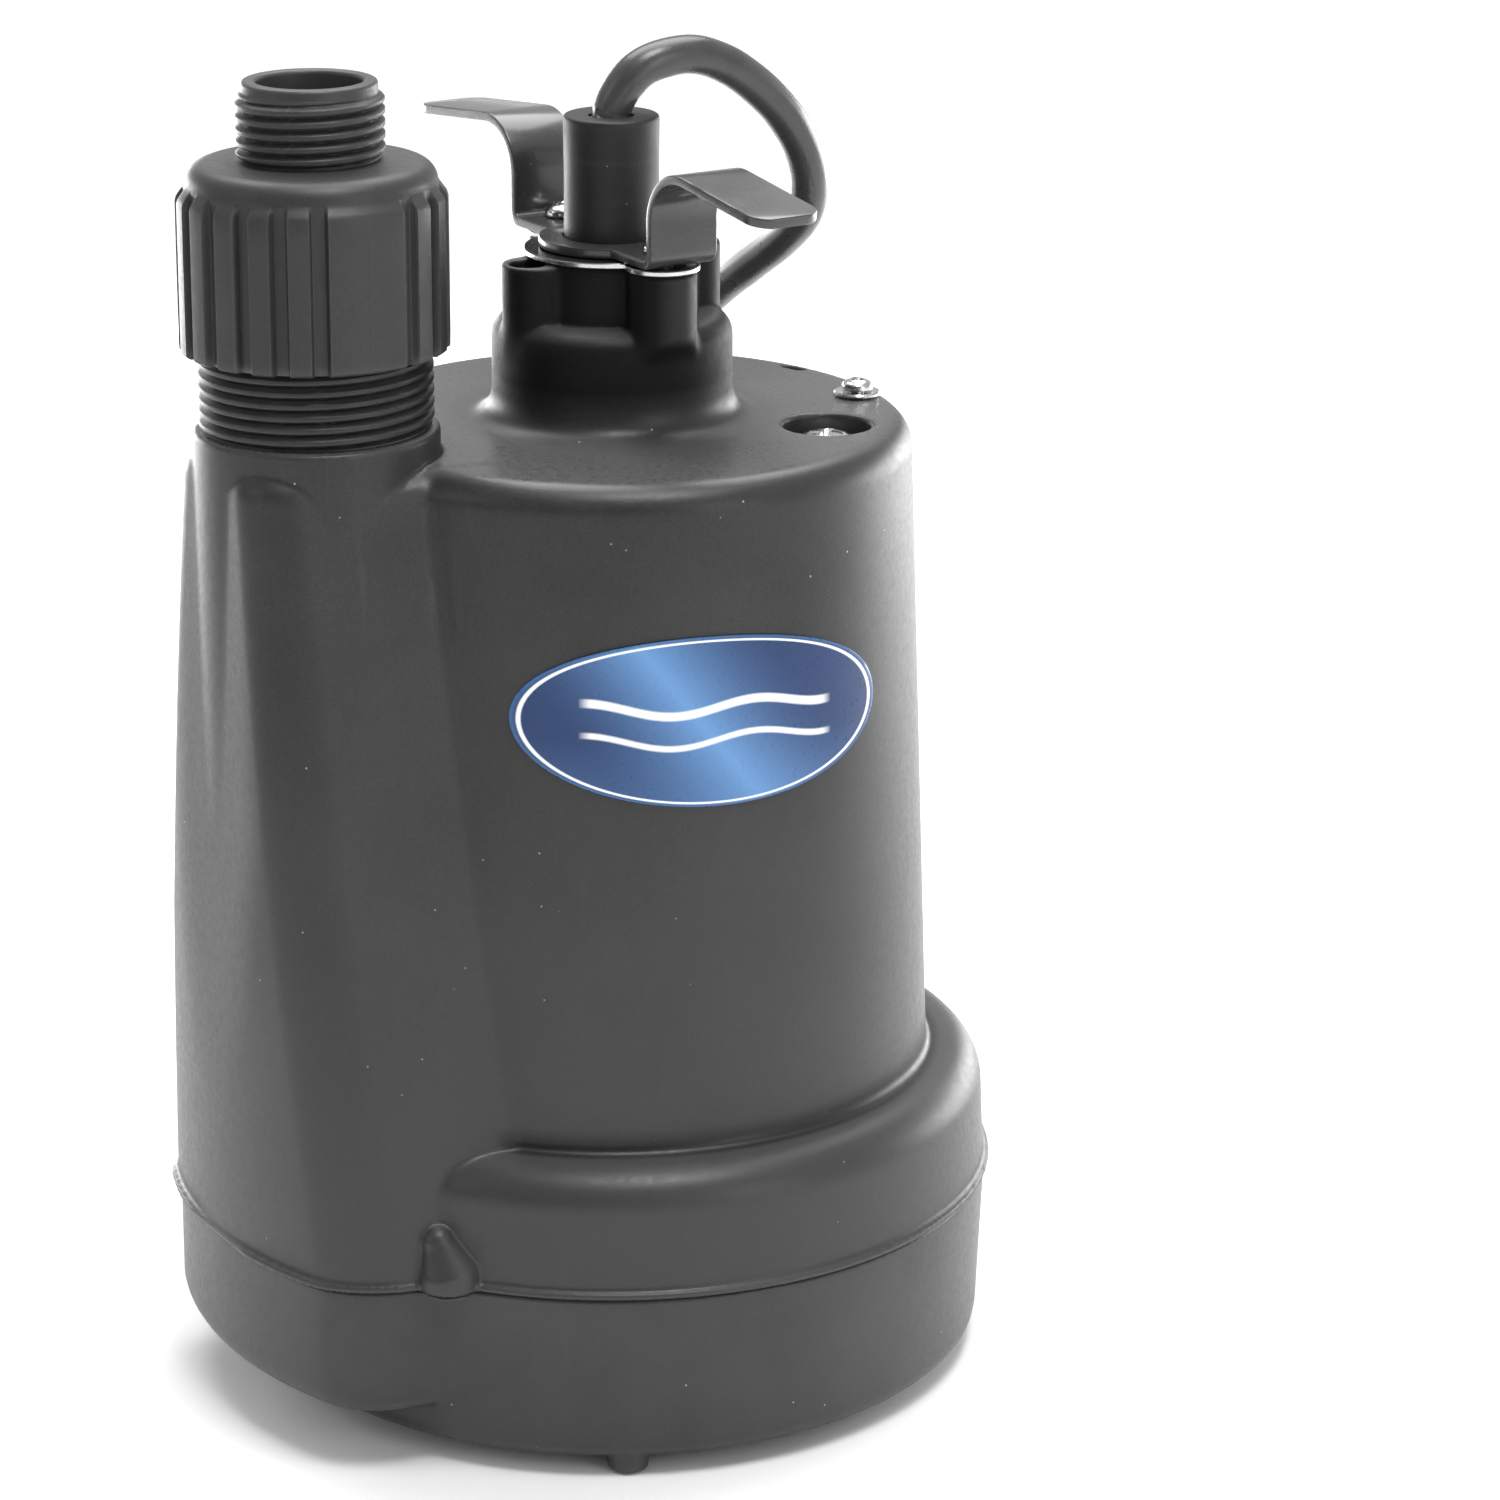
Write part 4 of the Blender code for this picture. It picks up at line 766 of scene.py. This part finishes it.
def build_housing():
    grid = Field(*zip(FIELD_X, FIELD_Y, (33.0, 217.5)))
    solid = housing_outside(grid)
    # motor cavity with its flat, end plate seat, discharge bore, cord way
    cavity = meet(grid.r - R_CAVITY, X_FLAT - grid.x, 2.0)
    solid = carve(solid, np.maximum(cavity, grid.z - 176.0))
    seat = np.maximum(grid.r - R_CAVITY - 2.0, X_FLAT - grid.x)
    solid = carve(solid, np.maximum(seat, grid.z - 41.8))
    solid = carve(solid, grid.radial(PIPE_X, 0.0) - R_BORE)
    solid = carve(solid, grid.well_up(0.0, 0.0, 5.0, 160.0))
    solid = carve(solid, grid.well_up(0.0, 0.0, 12.3, 205.0))
    # fill opening and its hole, ground screw hole, slot
    solid = meet(solid, -grid.well_up(*FILL, 8.2, 179.6), 0.7)
    solid = carve(solid, grid.well_up(*FILL, 3.3, 172.0))
    solid = carve(solid, grid.post(*GROUND, 1.7, 178.4, 190.0))
    solid = carve(solid, top_slot(grid))
    # recesses in the lugs, base screw holes
    for x in LUG_PAIR_X:
        solid = meet(solid, -grid.post(x * 1.10, 0.0, 3.4, 206.0, 222.0), 0.4)
    for y in LUG_PAIR_Y:
        solid = carve(solid, grid.post(0.0, y, 2.3, 201.0, 222.0))
    for degrees in BASE_SCREW_DEGREES:
        centre = polar(R_BASE_SCREWS, degrees)
        solid = carve(solid, grid.post(*centre, R_BASE_SCREW_HOLE, 20.0, 51.0))
    add("housing_shell", grid.mesh(solid, "housing_shell"), HOUSING,
        "motor_housing", smooth=None)


def build_base():
    grid = Field(*zip(FIELD_X, FIELD_Y, (-2.0, 39.0)))
    outline = [(0.0, Z_BASE), (67.2, Z_BASE)] + arc(67.3, Z_BASE + 3.8, 3.8, -88, -2, 8)
    outline += [(72.35, Z_SEAM_LO), (72.35, 50.0), (0.0, 50.0)]
    solid = grid.lathe(outline)
    lobe = meet_round(block_field(grid, grow=-0.5), 11.0 - grid.z, 4.6)
    solid = join(solid, lobe, 2.0)
    solid = join(solid, np.maximum(vent_field(grid) + 0.9, 35.0 - grid.z), 0.4)
    # three round feet
    for degrees in (0, 120, -117.4):
        solid = join(solid, grid.post(*polar(66.3, degrees), 3.85, 0.0, 12.0, 0.5), 0.6)
    solid = meet_round(solid, grid.z - Z_SEAM_LO, 0.4)
    # strainer recess, eye, volute, discharge pocket, screw wells
    solid = carve(solid, grid.well_down(62.2, 19.5))
    solid = carve(solid, grid.well_down(R_EYE, 60.0))
    solid = carve(solid, grid.well_up(0.0, 0.0, R_CHAMBER, 23.0))
    solid = carve(solid, grid.well_up(PIPE_X, 0.0, R_BORE, 23.1))
    for degrees in BASE_SCREW_DEGREES:
        centre = polar(R_BASE_SCREWS, degrees)
        solid = carve(solid, grid.post(*centre, 3.9, -5.0, 13.0))
        solid = carve(solid, grid.post(*centre, R_BASE_SCREW_HOLE, 0.0, 60.0))
    add("base_shell", grid.mesh(solid, "base_shell"), BASE, "base_volute",
        smooth=None)


# ------------------------------------------------------------------ threads and adapter
def thread_radius(z, angles, root, crest, z0, z1, phase):
    """Thread with near-straight flanks, fading out at both ends. phase is in turns."""
    turn = ((z - z0) / PITCH - angles / (2 * math.pi) + phase) % 1.0
    flank = np.clip((0.47 - np.abs(turn - 0.5)) / 0.30, 0, 1)
    fade = np.clip((z - z0) / (0.6 * PITCH), 0, 1) * np.clip((z1 - z) / (0.6 * PITCH), 0, 1)
    return root + (crest - root) * (flank * (1.3 - 0.3 * flank)) * fade


def build_discharge_thread():
    segments, steps = 220, 150
    angles = turn_angles(segments)
    z_foot = 188.9
    rows = [(R_BORE + 0.02, z_foot), (R_ROOT + 0.35, z_foot), (R_ROOT + 0.35, Z_THREAD_LO)]
    for i in range(steps + 1):
        z = Z_THREAD_LO + (Z_THREAD_HI - 0.5 - Z_THREAD_LO) * i / steps
        rows.append((thread_radius(z, angles, R_ROOT, R_CREST, 189.3, Z_THREAD_HI - 0.3, 0.15), z))
    rows += [(R_ROOT - 0.1, Z_THREAD_HI - 0.15), (R_ROOT - 0.5, Z_THREAD_HI),
             (R_BORE + 0.5, Z_THREAD_HI), (R_BORE + 0.02, Z_THREAD_HI - 0.4)]
    add("discharge_thread", turned("discharge_thread", rows, segments, (PIPE_X, 0.0)), HOUSING,
        smooth=60)


# degrees round the adapter; the second mould line is opposite the first
MOULD_LINE, PAD_LONG_HALF, PAD_SHORT, PAD_GAP, PAD_EDGE = -91.5, 18.0, 10.3, 6.84, 1.1


def mould_flash(angles):
    """Thin ridge on each mould line."""
    off = (np.degrees(angles - math.radians(MOULD_LINE)) + 90.0) % 180.0 - 90.0
    return 0.07 * np.exp(-off ** 2 / 0.25)


def pads(angles):
    """Grip pads: one long pad on each mould line and eight short ones between."""
    whole = (np.degrees(angles - math.radians(MOULD_LINE)) + 360.0) % 360.0 % 180.0
    off = np.minimum(whole, 180.0 - whole)
    long_pads = np.clip((PAD_LONG_HALF - off) / PAD_EDGE + 0.5, 0, 1)
    start = whole - PAD_LONG_HALF - PAD_GAP
    step = PAD_SHORT + PAD_GAP
    index = np.floor((start + PAD_GAP / 2) / step)
    along = start - index * step
    edge = np.clip(np.minimum(along, PAD_SHORT - along) / PAD_EDGE + 0.5, 0, 1)
    both = np.maximum(long_pads, np.where((index >= 0) & (index <= 7), edge, 0))
    return both * both * (3 - 2 * both)


def build_adapter():
    segments, thread_steps = 720, 92
    angles = turn_angles(segments)
    pad_lift, flash = pads(angles), mould_flash(angles)

    def grip(radius, share):
        return radius + (R_GRIP - R_ADAPTER) * share * pad_lift

    rows = [(R_ADAPTER_BORE + 0.25, Z_ADAPTER_LO),
            (grip(R_ADAPTER - 0.4, 0.75) + flash, Z_ADAPTER_LO),
            (grip(R_ADAPTER, 0.97) + flash, Z_ADAPTER_LO + 0.5)]
    rows += [(grip(R_ADAPTER, 1.0) + flash, float(z)) for z in np.linspace(206.0, 231.6, 10)]
    # the pads run out at the top: height, share of the pad's full lift
    for z, share in ((232.4, 0.86), (232.9, 0.64), (233.4, 0.40), (233.9, 0.16), (234.3, 0.0)):
        rows.append((grip(R_ADAPTER, share), z))
    rows += arc(R_ADAPTER - 3.9, Z_ADAPTER_HI - 3.5, 3.7, 4, 88, 10)
    rows += [(16.0, Z_ADAPTER_HI + 0.25), (13.2, Z_ADAPTER_HI + 0.35), (12.75, Z_ADAPTER_HI + 0.5)]
    z0, z1 = 238.6, 250.9
    for i in range(thread_steps + 1):
        z = z0 + (z1 - z0) * i / thread_steps
        rows.append((thread_radius(z, angles, R_NIPPLE, R_NIPPLE_CREST, z0 - 0.2, z1, 0.4), z))
    rows += [(R_NIPPLE, 252.1), (R_NIPPLE - 0.18, 252.5), (R_NIPPLE - 0.55, Z_RIM),
             (R_NIPPLE_BORE + 0.5, Z_RIM), (R_NIPPLE_BORE + 0.1, 252.4), (R_NIPPLE_BORE, 251.9),
             (R_NIPPLE_BORE, 245.0), (R_NIPPLE_BORE, 233.0), (14.5, 226.0), (16.5, 217.4),
             (R_ADAPTER_BORE, 217.4), (R_ADAPTER_BORE, 210.0), (R_ADAPTER_BORE, Z_ADAPTER_LO + 0.3)]
    add("adapter_shell", turned("adapter_shell", rows, segments, (PIPE_X, 0.0)), ADAPTER,
        "hose_adapter", body="adapter", smooth=50)


# ------------------------------------------------------------------ handle, plate, screws, grommet
def punch_holes(obj, material):
    """Cord hole on the axis and a screw hole at each lug on Y."""
    holes = [(0, R_CORD_HOLE, 72)] + [(y, R_SCREW_HOLE, 32) for y in LUG_PAIR_Y]
    cut(obj, material, [loop_grid([circle(0, y, z, radius, segments) for z in (212, 224)], "cyl")
                        for y, radius, segments in holes])


def handle_path(lift, droop, length):
    """Middle line (y, z) of one half: flat over the boss, bent up, then out into a wing."""
    droop = math.radians(droop)
    flat, bend = 22.4, 2.0
    z_flat = STRIP_LO + HANDLE_T / 2
    path = [(d, z_flat) for d in np.linspace(0.0, 22.0, 45)]
    path += arc(flat, z_flat + bend, bend, -90, 0, 7)[1:]
    arm, radius, z_arm = flat + bend, 9.6, 225.6 + lift
    path += [(arm, z) for z in np.linspace(z_flat + 3.0, z_arm - 0.6, 6)]
    for i in range(23):
        angle = i * (math.pi / 2 + droop) / 22
        path.append((arm + radius - radius * math.cos(angle), z_arm + radius * math.sin(angle)))
    y_end, z_end = path[-1]
    # stations crowd towards the tip, where the corners are rounded
    tip = length - HANDLE_CORNER * (1 - np.sin(np.linspace(0.05, 1.0, 12) * math.pi / 2))
    for s in np.concatenate([np.linspace(1.2, length - 5.2, 12), tip]):
        path.append((y_end + s * math.cos(droop), z_end - s * math.sin(droop)))
    return path


def build_handle():
    front = handle_path(lift=-0.4, droop=7.5, length=25.9)
    back = handle_path(lift=0.5, droop=5.5, length=27.4)
    line = [(-y, z) for y, z in reversed(front[1:])] + back
    run = [0.0]
    for (y0, z0), (y1, z1) in zip(line, line[1:]):
        run.append(run[-1] + math.hypot(y1 - y0, z1 - z0))
    edge = 0.32     # rounding of the strip's section
    cos_yaw, sin_yaw = math.cos(HANDLE_YAW), math.sin(HANDLE_YAW)
    rings = []
    for i, (along, z) in enumerate(line):
        before, after = Vector(line[max(i - 1, 0)]), Vector(line[min(i + 1, len(line) - 1)])
        tangent = (after - before).normalized()
        normal_y, normal_z = -tangent.y, tangent.x
        end = min(run[i], run[-1] - run[i])
        half = HANDLE_W / 2
        if end < HANDLE_CORNER:
            rounded = HANDLE_CORNER ** 2 - (HANDLE_CORNER - end) ** 2
            half = half - HANDLE_CORNER + math.sqrt(max(rounded, 0.04))
        if abs(along) < 13.4 and z < 220:     # round eye for the cord
            half = max(HANDLE_W / 2, math.sqrt(13.6 ** 2 - along * along))
        thick = HANDLE_T / 2 * (1.0 if end > 0.35 else 0.8)
        wide, high = half - edge, thick - edge
        ring = []
        for corner_x, corner_up, start in ((wide, high, 0), (-wide, high, 90),
                                           (-wide, -high, 180), (wide, -high, 270)):
            for k in range(4):
                angle = math.radians(start + 30 * k)
                x, up = corner_x + edge * math.cos(angle), corner_up + edge * math.sin(angle)
                y = along + up * normal_y
                ring.append((x * cos_yaw - y * sin_yaw, x * sin_yaw + y * cos_yaw,
                             z + up * normal_z))
        rings.append(ring)
    obj = add("handle_strip", loop_grid(rings, "handle_strip"), PAINT,
              "handle_bracket", smooth=32)
    punch_holes(obj, PAINT)


def plate_outline(grow):
    """Disc with a round lobe at each lug on Y."""
    disc, lobe = 16.4 + grow, 6.9 + grow
    y = (disc * disc - lobe * lobe + LUG_Y * LUG_Y) / (2 * LUG_Y)
    x = math.sqrt(max(disc * disc - y * y, 0.0))
    meet_disc, meet_lobe = math.atan2(y, x), math.atan2(y - LUG_Y, x)
    half = []
    for k in range(61):
        angle = -meet_disc + 2 * meet_disc * k / 60
        half.append((disc * math.cos(angle), disc * math.sin(angle)))
    for k in range(1, 28):
        angle = meet_lobe + (math.pi - 2 * meet_lobe) * k / 28
        half.append((lobe * math.cos(angle), LUG_Y + lobe * math.sin(angle)))
    return half + [(-x, -y) for x, y in half]


def build_plate():
    bevel = 0.18
    levels = ((-bevel, PLATE_LO), (0.0, PLATE_LO + bevel), (0.0, PLATE_HI - bevel),
              (-bevel, PLATE_HI))
    rings = [[(x, y, z) for x, y in plate_outline(grow)] for grow, z in levels]
    obj = add("plate_disc", loop_grid(rings, "plate_disc"), PLATE, "clamp_plate")
    punch_holes(obj, PLATE)


def build_screw(name, node, centre, z, r_head, head, r_shank, length, turn):
    """Domed screw with a cross recess, its head seated at z. turn is in radians."""
    x, y = centre
    rows = [(r_shank * 0.3, z - length), (r_shank, z - length + r_shank * 0.6), (r_shank, z),
            (r_head - 0.12, z), (r_head, z + 0.12), (r_head, z + head * 0.30)]
    rows += [(r_head * math.cos(a), z + head * 0.30 + head * 0.70 * math.sin(a))
             for a in np.linspace(0.15, 1.25, 9)]
    rings = [circle(x, y, height, radius, 64) for radius, height in rows]
    obj = add(name, loop_grid(rings, name), ZINC, node)
    w, arm = r_head * 0.13, r_head * 0.62
    cross = [(w, w), (w, arm), (-w, arm), (-w, w), (-arm, w), (-arm, -w),
             (-w, -w), (-w, -arm), (w, -arm), (w, -w), (arm, -w), (arm, w)]
    cos_turn, sin_turn = math.cos(turn), math.sin(turn)
    # the recess tapers: scale of the cross, height
    levels = ((0.25, z + head * 0.15), (1.0, z + head * 0.98), (1.12, z + head * 1.4))
    rings = [[(x + (px * scale) * cos_turn - (py * scale) * sin_turn,
               y + (px * scale) * sin_turn + (py * scale) * cos_turn, height) for px, py in cross]
             for scale, height in levels]
    cut(obj, ZINC, [loop_grid(rings, "cross")])


def build_washer():
    inner, outer, z, top = 1.7, 4.4, WASHER_LO, WASHER_LO + WASHER_T
    rows = [(inner, z), (4.15, z), (outer, z + 0.2), (outer, z + 0.55), (4.2, top), (inner, top)]
    add("ground_ring", turned("ground_ring", rows, 64, GROUND), ZINC,
        "ground_washer")


def build_grommet():
    # (r, z): collar, slightly waisted sleeve, rounded top, bore
    rows = [(4.2, 205.3), (12.0, 205.3), (12.0, 214.9), (9.0, 214.9), (8.95, 216.2)]
    rows += [(8.92 - 0.10 * math.sin(math.pi * t), 216.2 + 23.4 * t)
             for t in np.linspace(0.02, 1.0, 14)]
    rows += arc(8.2, 240.2, 0.7, 8, 90, 5)
    rows += [(6.0, 240.95), (4.7, 240.9), (4.25, 240.6), (4.2, 239.9), (4.2, 225.0)]
    add("grommet_body", turned("grommet_body", rows, 96), RUBBER, "cord_grommet",
        smooth=40)


# ------------------------------------------------------------------ cord and plug
VIEW_TURN = math.radians(30)    # turn from Y to the direction away from the camera

# cord after it leaves the grommet: across to the camera's right, away from it, height
CORD_LOOP = [
    (2.7, 0.5, 246.4), (6.9, 2.0, 249.8), (14.1, 6.0, 250.9), (20.4, 10.0, 248.7),
    (26.4, 14.0, 244.1), (32.0, 18.0, 237.7), (35.9, 22.0, 230.1), (37.2, 26.0, 223.1),
    (36.4, 31.0, 216.1), (32.5, 38.0, 209.6), (26.5, 46.0, 202.9), (20.5, 54.0, 196.3),
    (14.5, 61.0, 188.5), (10.0, 65.5, 176.0), (8.0, 68.5, 158.0), (8.0, 72.0, 130.0),
    (8.0, 77.0, 98.0), (8.0, 81.5, 64.0), (9.0, 84.5, 36.0), (12.0, 89.0, 15.0),
    (19.0, 97.0, 5.5), (31.0, 110.0, 4.1), (36.0, 126.0, 4.0), (27.0, 141.0, 4.4),
    (15.0, 147.5, 7.4), (7.0, 149.5, 9.0), (0.0, 150.0, 9.0),
]

# plug sections: distance from the cord's end, half width, half height
PLUG_SECTIONS = [
    (0.9, 4.2, 4.2), (1.6, 4.4, 4.4), (3.0, 4.0, 4.0), (4.4, 4.5, 4.5), (5.8, 4.1, 4.1),
    (7.2, 4.7, 4.6), (8.8, 4.3, 4.3), (10.6, 5.0, 4.9), (12.4, 5.8, 5.4), (15.0, 9.2, 6.9),
    (18.0, 12.0, 7.8), (23.0, 13.1, 8.15), (30.0, 13.2, 8.2), (37.0, 13.2, 8.2),
    (38.2, 13.0, 8.0), (38.8, 12.6, 7.6), (39.0, 12.0, 7.0),
]


def build_cord():
    """Builds the cord and returns its middle line."""
    c, s = math.cos(VIEW_TURN), math.sin(VIEW_TURN)
    points = [(0, 0, 160.0), (0, 0, 200.0), (0, 0, 237.0), (0, 0, 241.4)]
    points += [(across * c + away * s, -across * s + away * c, z) for across, away, z in CORD_LOOP]
    line = catmull(points, per=7)
    rings = tube_rings(line, lambda i: R_CORD * (1.0 + 0.006 * math.sin(i * 0.9)), segments=28)
    add("cord_jacket", loop_grid(rings, "cord_jacket"), CORD, "power_cord", smooth=50)
    return line


def build_plug(line):
    end = line[-1]
    ahead = end - line[-2]
    ahead = Vector((ahead.x, ahead.y, 0)).normalized()
    side, up = Vector((-ahead.y, ahead.x, 0)), Vector((0, 0, 1))

    def squared(value):
        """Pushes a sine or cosine out, so that the oval section turns boxy."""
        return math.copysign(abs(value) ** 0.75, value)

    turns = [2 * math.pi * (k + 0.5) / 48 for k in range(48)]
    rings = [[tuple(end + ahead * s + side * (wide * squared(math.cos(t)))
                    + up * (high * squared(math.sin(t)))) for t in turns]
             for s, wide, high in PLUG_SECTIONS]
    add("plug_body", loop_grid(rings, "plug_body"), RUBBER, "power_plug", smooth=40)


# ------------------------------------------------------------------ badge
def build_badge():
    """Thin oval wrapped on the wall, with (across, up) from -1 to 1 as its UV map."""
    middle, z_middle, half_width, half_height = math.radians(-101.05), 141.15, 37.3, 15.75
    tilt = 1.0          # how far the +u end drops
    under, over, rim_drop = 0.12, 0.42, 0.16    # offsets from the wall
    segments, rings = 128, 14
    verts, faces, uvs = [], [], []
    for offset in (under, over):
        for j in range(rings + 1):
            share = math.sin(math.pi / 2 * j / rings)
            drop = rim_drop if (offset == over and j == rings) else 0.0
            for k in range(segments if j else 1):
                t = 2 * math.pi * k / segments
                u, v = share * math.cos(t), share * math.sin(t)
                z = z_middle + half_height * v - tilt * u
                radius = wall_radius(z) + offset - drop
                angle = middle + half_width * u / wall_radius(z_middle)
                verts.append((radius * math.cos(angle) * MM, radius * math.sin(angle) * MM, z * MM))
                uvs.append((u, v))

    def index(layer, j, k):
        start = layer * (1 + rings * segments)
        return start + (0 if j == 0 else 1 + (j - 1) * segments + k % segments)

    for layer in (0, 1):
        for j in range(rings):
            for k in range(segments):
                face = (index(layer, j, k), index(layer, j + 1, k), index(layer, j + 1, k + 1),
                        index(layer, j, k + 1))
                if j == 0:
                    face = face[:3]
                faces.append(face if layer else face[::-1])
    for k in range(segments):
        faces.append((index(0, rings, k), index(0, rings, k + 1),
                      index(1, rings, k + 1), index(1, rings, k)))
    mesh = mesh_from(verts, faces, "label_oval")
    face_outward(mesh)
    uv_map = mesh.uv_layers.new(name="oval")
    for loop in mesh.loops:
        uv_map.data[loop.index].uv = uvs[loop.vertex_index]
    add("label_oval", mesh, LABEL, "badge", smooth=40)


# ------------------------------------------------------------------ build
build_housing()
build_base()
build_discharge_thread()
build_adapter()
build_handle()
build_plate()
for name, node, y, turn in (("wing_screw_back", "handle_screw_a", LUG_Y, 0.5),
                            ("wing_screw_front", "handle_screw_b", -LUG_Y, 0.2)):
    build_screw(name, node, (0, y), z=STRIP_LO + HANDLE_T + GAP, r_head=3.5, head=2.4,
                r_shank=2.0, length=15.0, turn=turn)
build_screw("oil_screw", "fill_screw", FILL, z=179.9, r_head=5.6, head=3.2, r_shank=3.0,
            length=8.0, turn=0.75)
build_washer()
build_screw("earth_screw", "ground_screw", GROUND, z=WASHER_LO + WASHER_T + GAP, r_head=2.95,
            head=2.1, r_shank=1.4, length=6.0, turn=0.3)
build_grommet()
build_plug(build_cord())
build_badge()

# frame pieces that keep their own meshes
FRAME_MATERIALS = (
    (STRAINER, "strainer end_plate"),
    (RUBBER, "volute_oring adapter_washer"),
    (CERAMIC, "seal_seat seal_rotor"),
    (STEEL, "bearing_lower bearing_upper bearing_bracket blade_a blade_b ground_pin "
            "tie_screw_a tie_screw_b tie_screw_c tie_screw_d shaft seal_spring"),
    (LAMINATIONS, "stator_core rotor_core"),
    (COPPER, "winding_lower winding_upper"),
    (CASE, "capacitor thermal_protector"),
    (ZINC, "base_screw_a base_screw_b base_screw_c base_screw_d impeller_nut"),
    (IMPELLER, "impeller"),
)
for material, names in FRAME_MATERIALS:
    for name in names.split():
        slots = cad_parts[name].data.materials
        slots.clear()
        slots.append(material)


# ------------------------------------------------------------------ floor, light, camera (metres)
def floor_material():
    """Off-white floor that glows to plain white far from the pump."""
    material = bpy.data.materials.new("floor")
    material.use_nodes = True
    tree = material.node_tree
    shader = tree.nodes["Principled BSDF"].inputs
    noise = new_node(tree, "ShaderNodeTexNoise", {"Scale": 3.0})
    tree.links.new(map_range(tree, noise.outputs["Fac"], to=(0.90, 0.93)), shader["Base Color"])
    geometry = new_node(tree, "ShaderNodeNewGeometry")
    distance = new_node(tree, "ShaderNodeVectorMath", operation="LENGTH")
    tree.links.new(geometry.outputs["Position"], distance.inputs[0])
    glow = map_range(tree, distance.outputs["Value"], over=(0.8, 2.2), to=(0.0, 0.75))
    tree.links.new(glow, shader["Emission Strength"])
    shader["Emission Color"].default_value = (1, 1, 1, 1)
    shader["Roughness"].default_value = 0.85
    shader["Specular IOR Level"].default_value = 0.1
    return material


def build_floor():
    material = floor_material()
    bpy.ops.mesh.primitive_plane_add(size=14.0, location=(0, 0, -0.0004))
    floor = bpy.context.object
    floor.name = "floor"
    floor.data.materials.append(material)


def around(degrees, distance, z):
    """A place round the pump; angle 0 is beside the camera, positive to its right."""
    angle = math.radians(-120.0 + degrees)
    return (distance * math.cos(angle), distance * math.sin(angle), z)


def build_lights():
    middle, upper = (0, 0, 0.12), (0, 0, 0.15)
    # name, place, target, size, power in watts
    for name, place, target, size, power in (
            ("left_wall", around(-147, 0.85, 0.06), middle, (0.66, 0.46), 9.0),
            ("right_wall", around(130, 0.85, 0.08), middle, (0.70, 0.50), 9.0),
            ("overhead", (0.20, 0.42, 1.15), upper, (1.1, 0.8), 14.0),
            ("top_front", around(30, 0.36, 1.20), upper, (0.42, 0.42), 8.5),
            ("front_left", around(-64, 1.5, 0.9), middle, (0.6, 0.6), 2.0),
            ("front_right", around(44, 1.5, 0.6), middle, (0.5, 0.9), 3.8)):
        light = bpy.data.lights.new(name, "AREA")
        light.shape = "RECTANGLE"
        light.size, light.size_y = size
        light.energy = power
        obj = link_object(name, light)
        obj.location = place
        aim = Vector(target) - Vector(place)
        obj.rotation_euler = aim.to_track_quat("-Z", "Y").to_euler()


def build_world():
    """White room, dimmer as fill light, and dimmer in reflections, most so at front left."""
    world = bpy.data.worlds.new("studio")
    bpy.context.scene.world = world
    world.use_nodes = True
    tree = world.node_tree
    background = tree.nodes["Background"].inputs
    background["Color"].default_value = (1, 1, 1, 1)
    ray = new_node(tree, "ShaderNodeLightPath").outputs
    level = map_range(tree, ray["Is Diffuse Ray"], to=(1.0, 0.47))
    coords = new_node(tree, "ShaderNodeTexCoord")
    facing = new_node(tree, "ShaderNodeVectorMath", {1: around(-34, 1.0, 0.0)},
                      operation="DOT_PRODUCT")
    tree.links.new(coords.outputs["Generated"], facing.inputs[0])
    dimming = map_range(tree, facing.outputs["Value"], over=(0.28, 0.85), to=(0.42, 0.95))

    def math_node(operation, first, second):
        node = new_node(tree, "ShaderNodeMath", operation=operation)
        tree.links.new(first, node.inputs[0])
        tree.links.new(second, node.inputs[1])
        return node.outputs[0]

    reflected = math_node("MULTIPLY", dimming, ray["Is Glossy Ray"])
    tree.links.new(math_node("SUBTRACT", level, reflected), background["Strength"])


def build_camera():
    camera = bpy.data.cameras.new("camera")
    obj = link_object("camera", camera)
    obj.location = (-0.41852, -0.74893, 0.39932)
    aim = Vector((0.47791, 0.82776, -0.29397))
    obj.rotation_euler = aim.to_track_quat("-Z", "Y").to_euler()
    camera.sensor_width = 36.0
    camera.lens = 113.13
    camera.shift_x, camera.shift_y = 0.04897, -0.05875
    camera.clip_start = 0.01
    bpy.context.scene.camera = obj


build_floor()
build_lights()
build_world()
bpy.context.scene.view_settings.view_transform = "Standard"
build_camera()
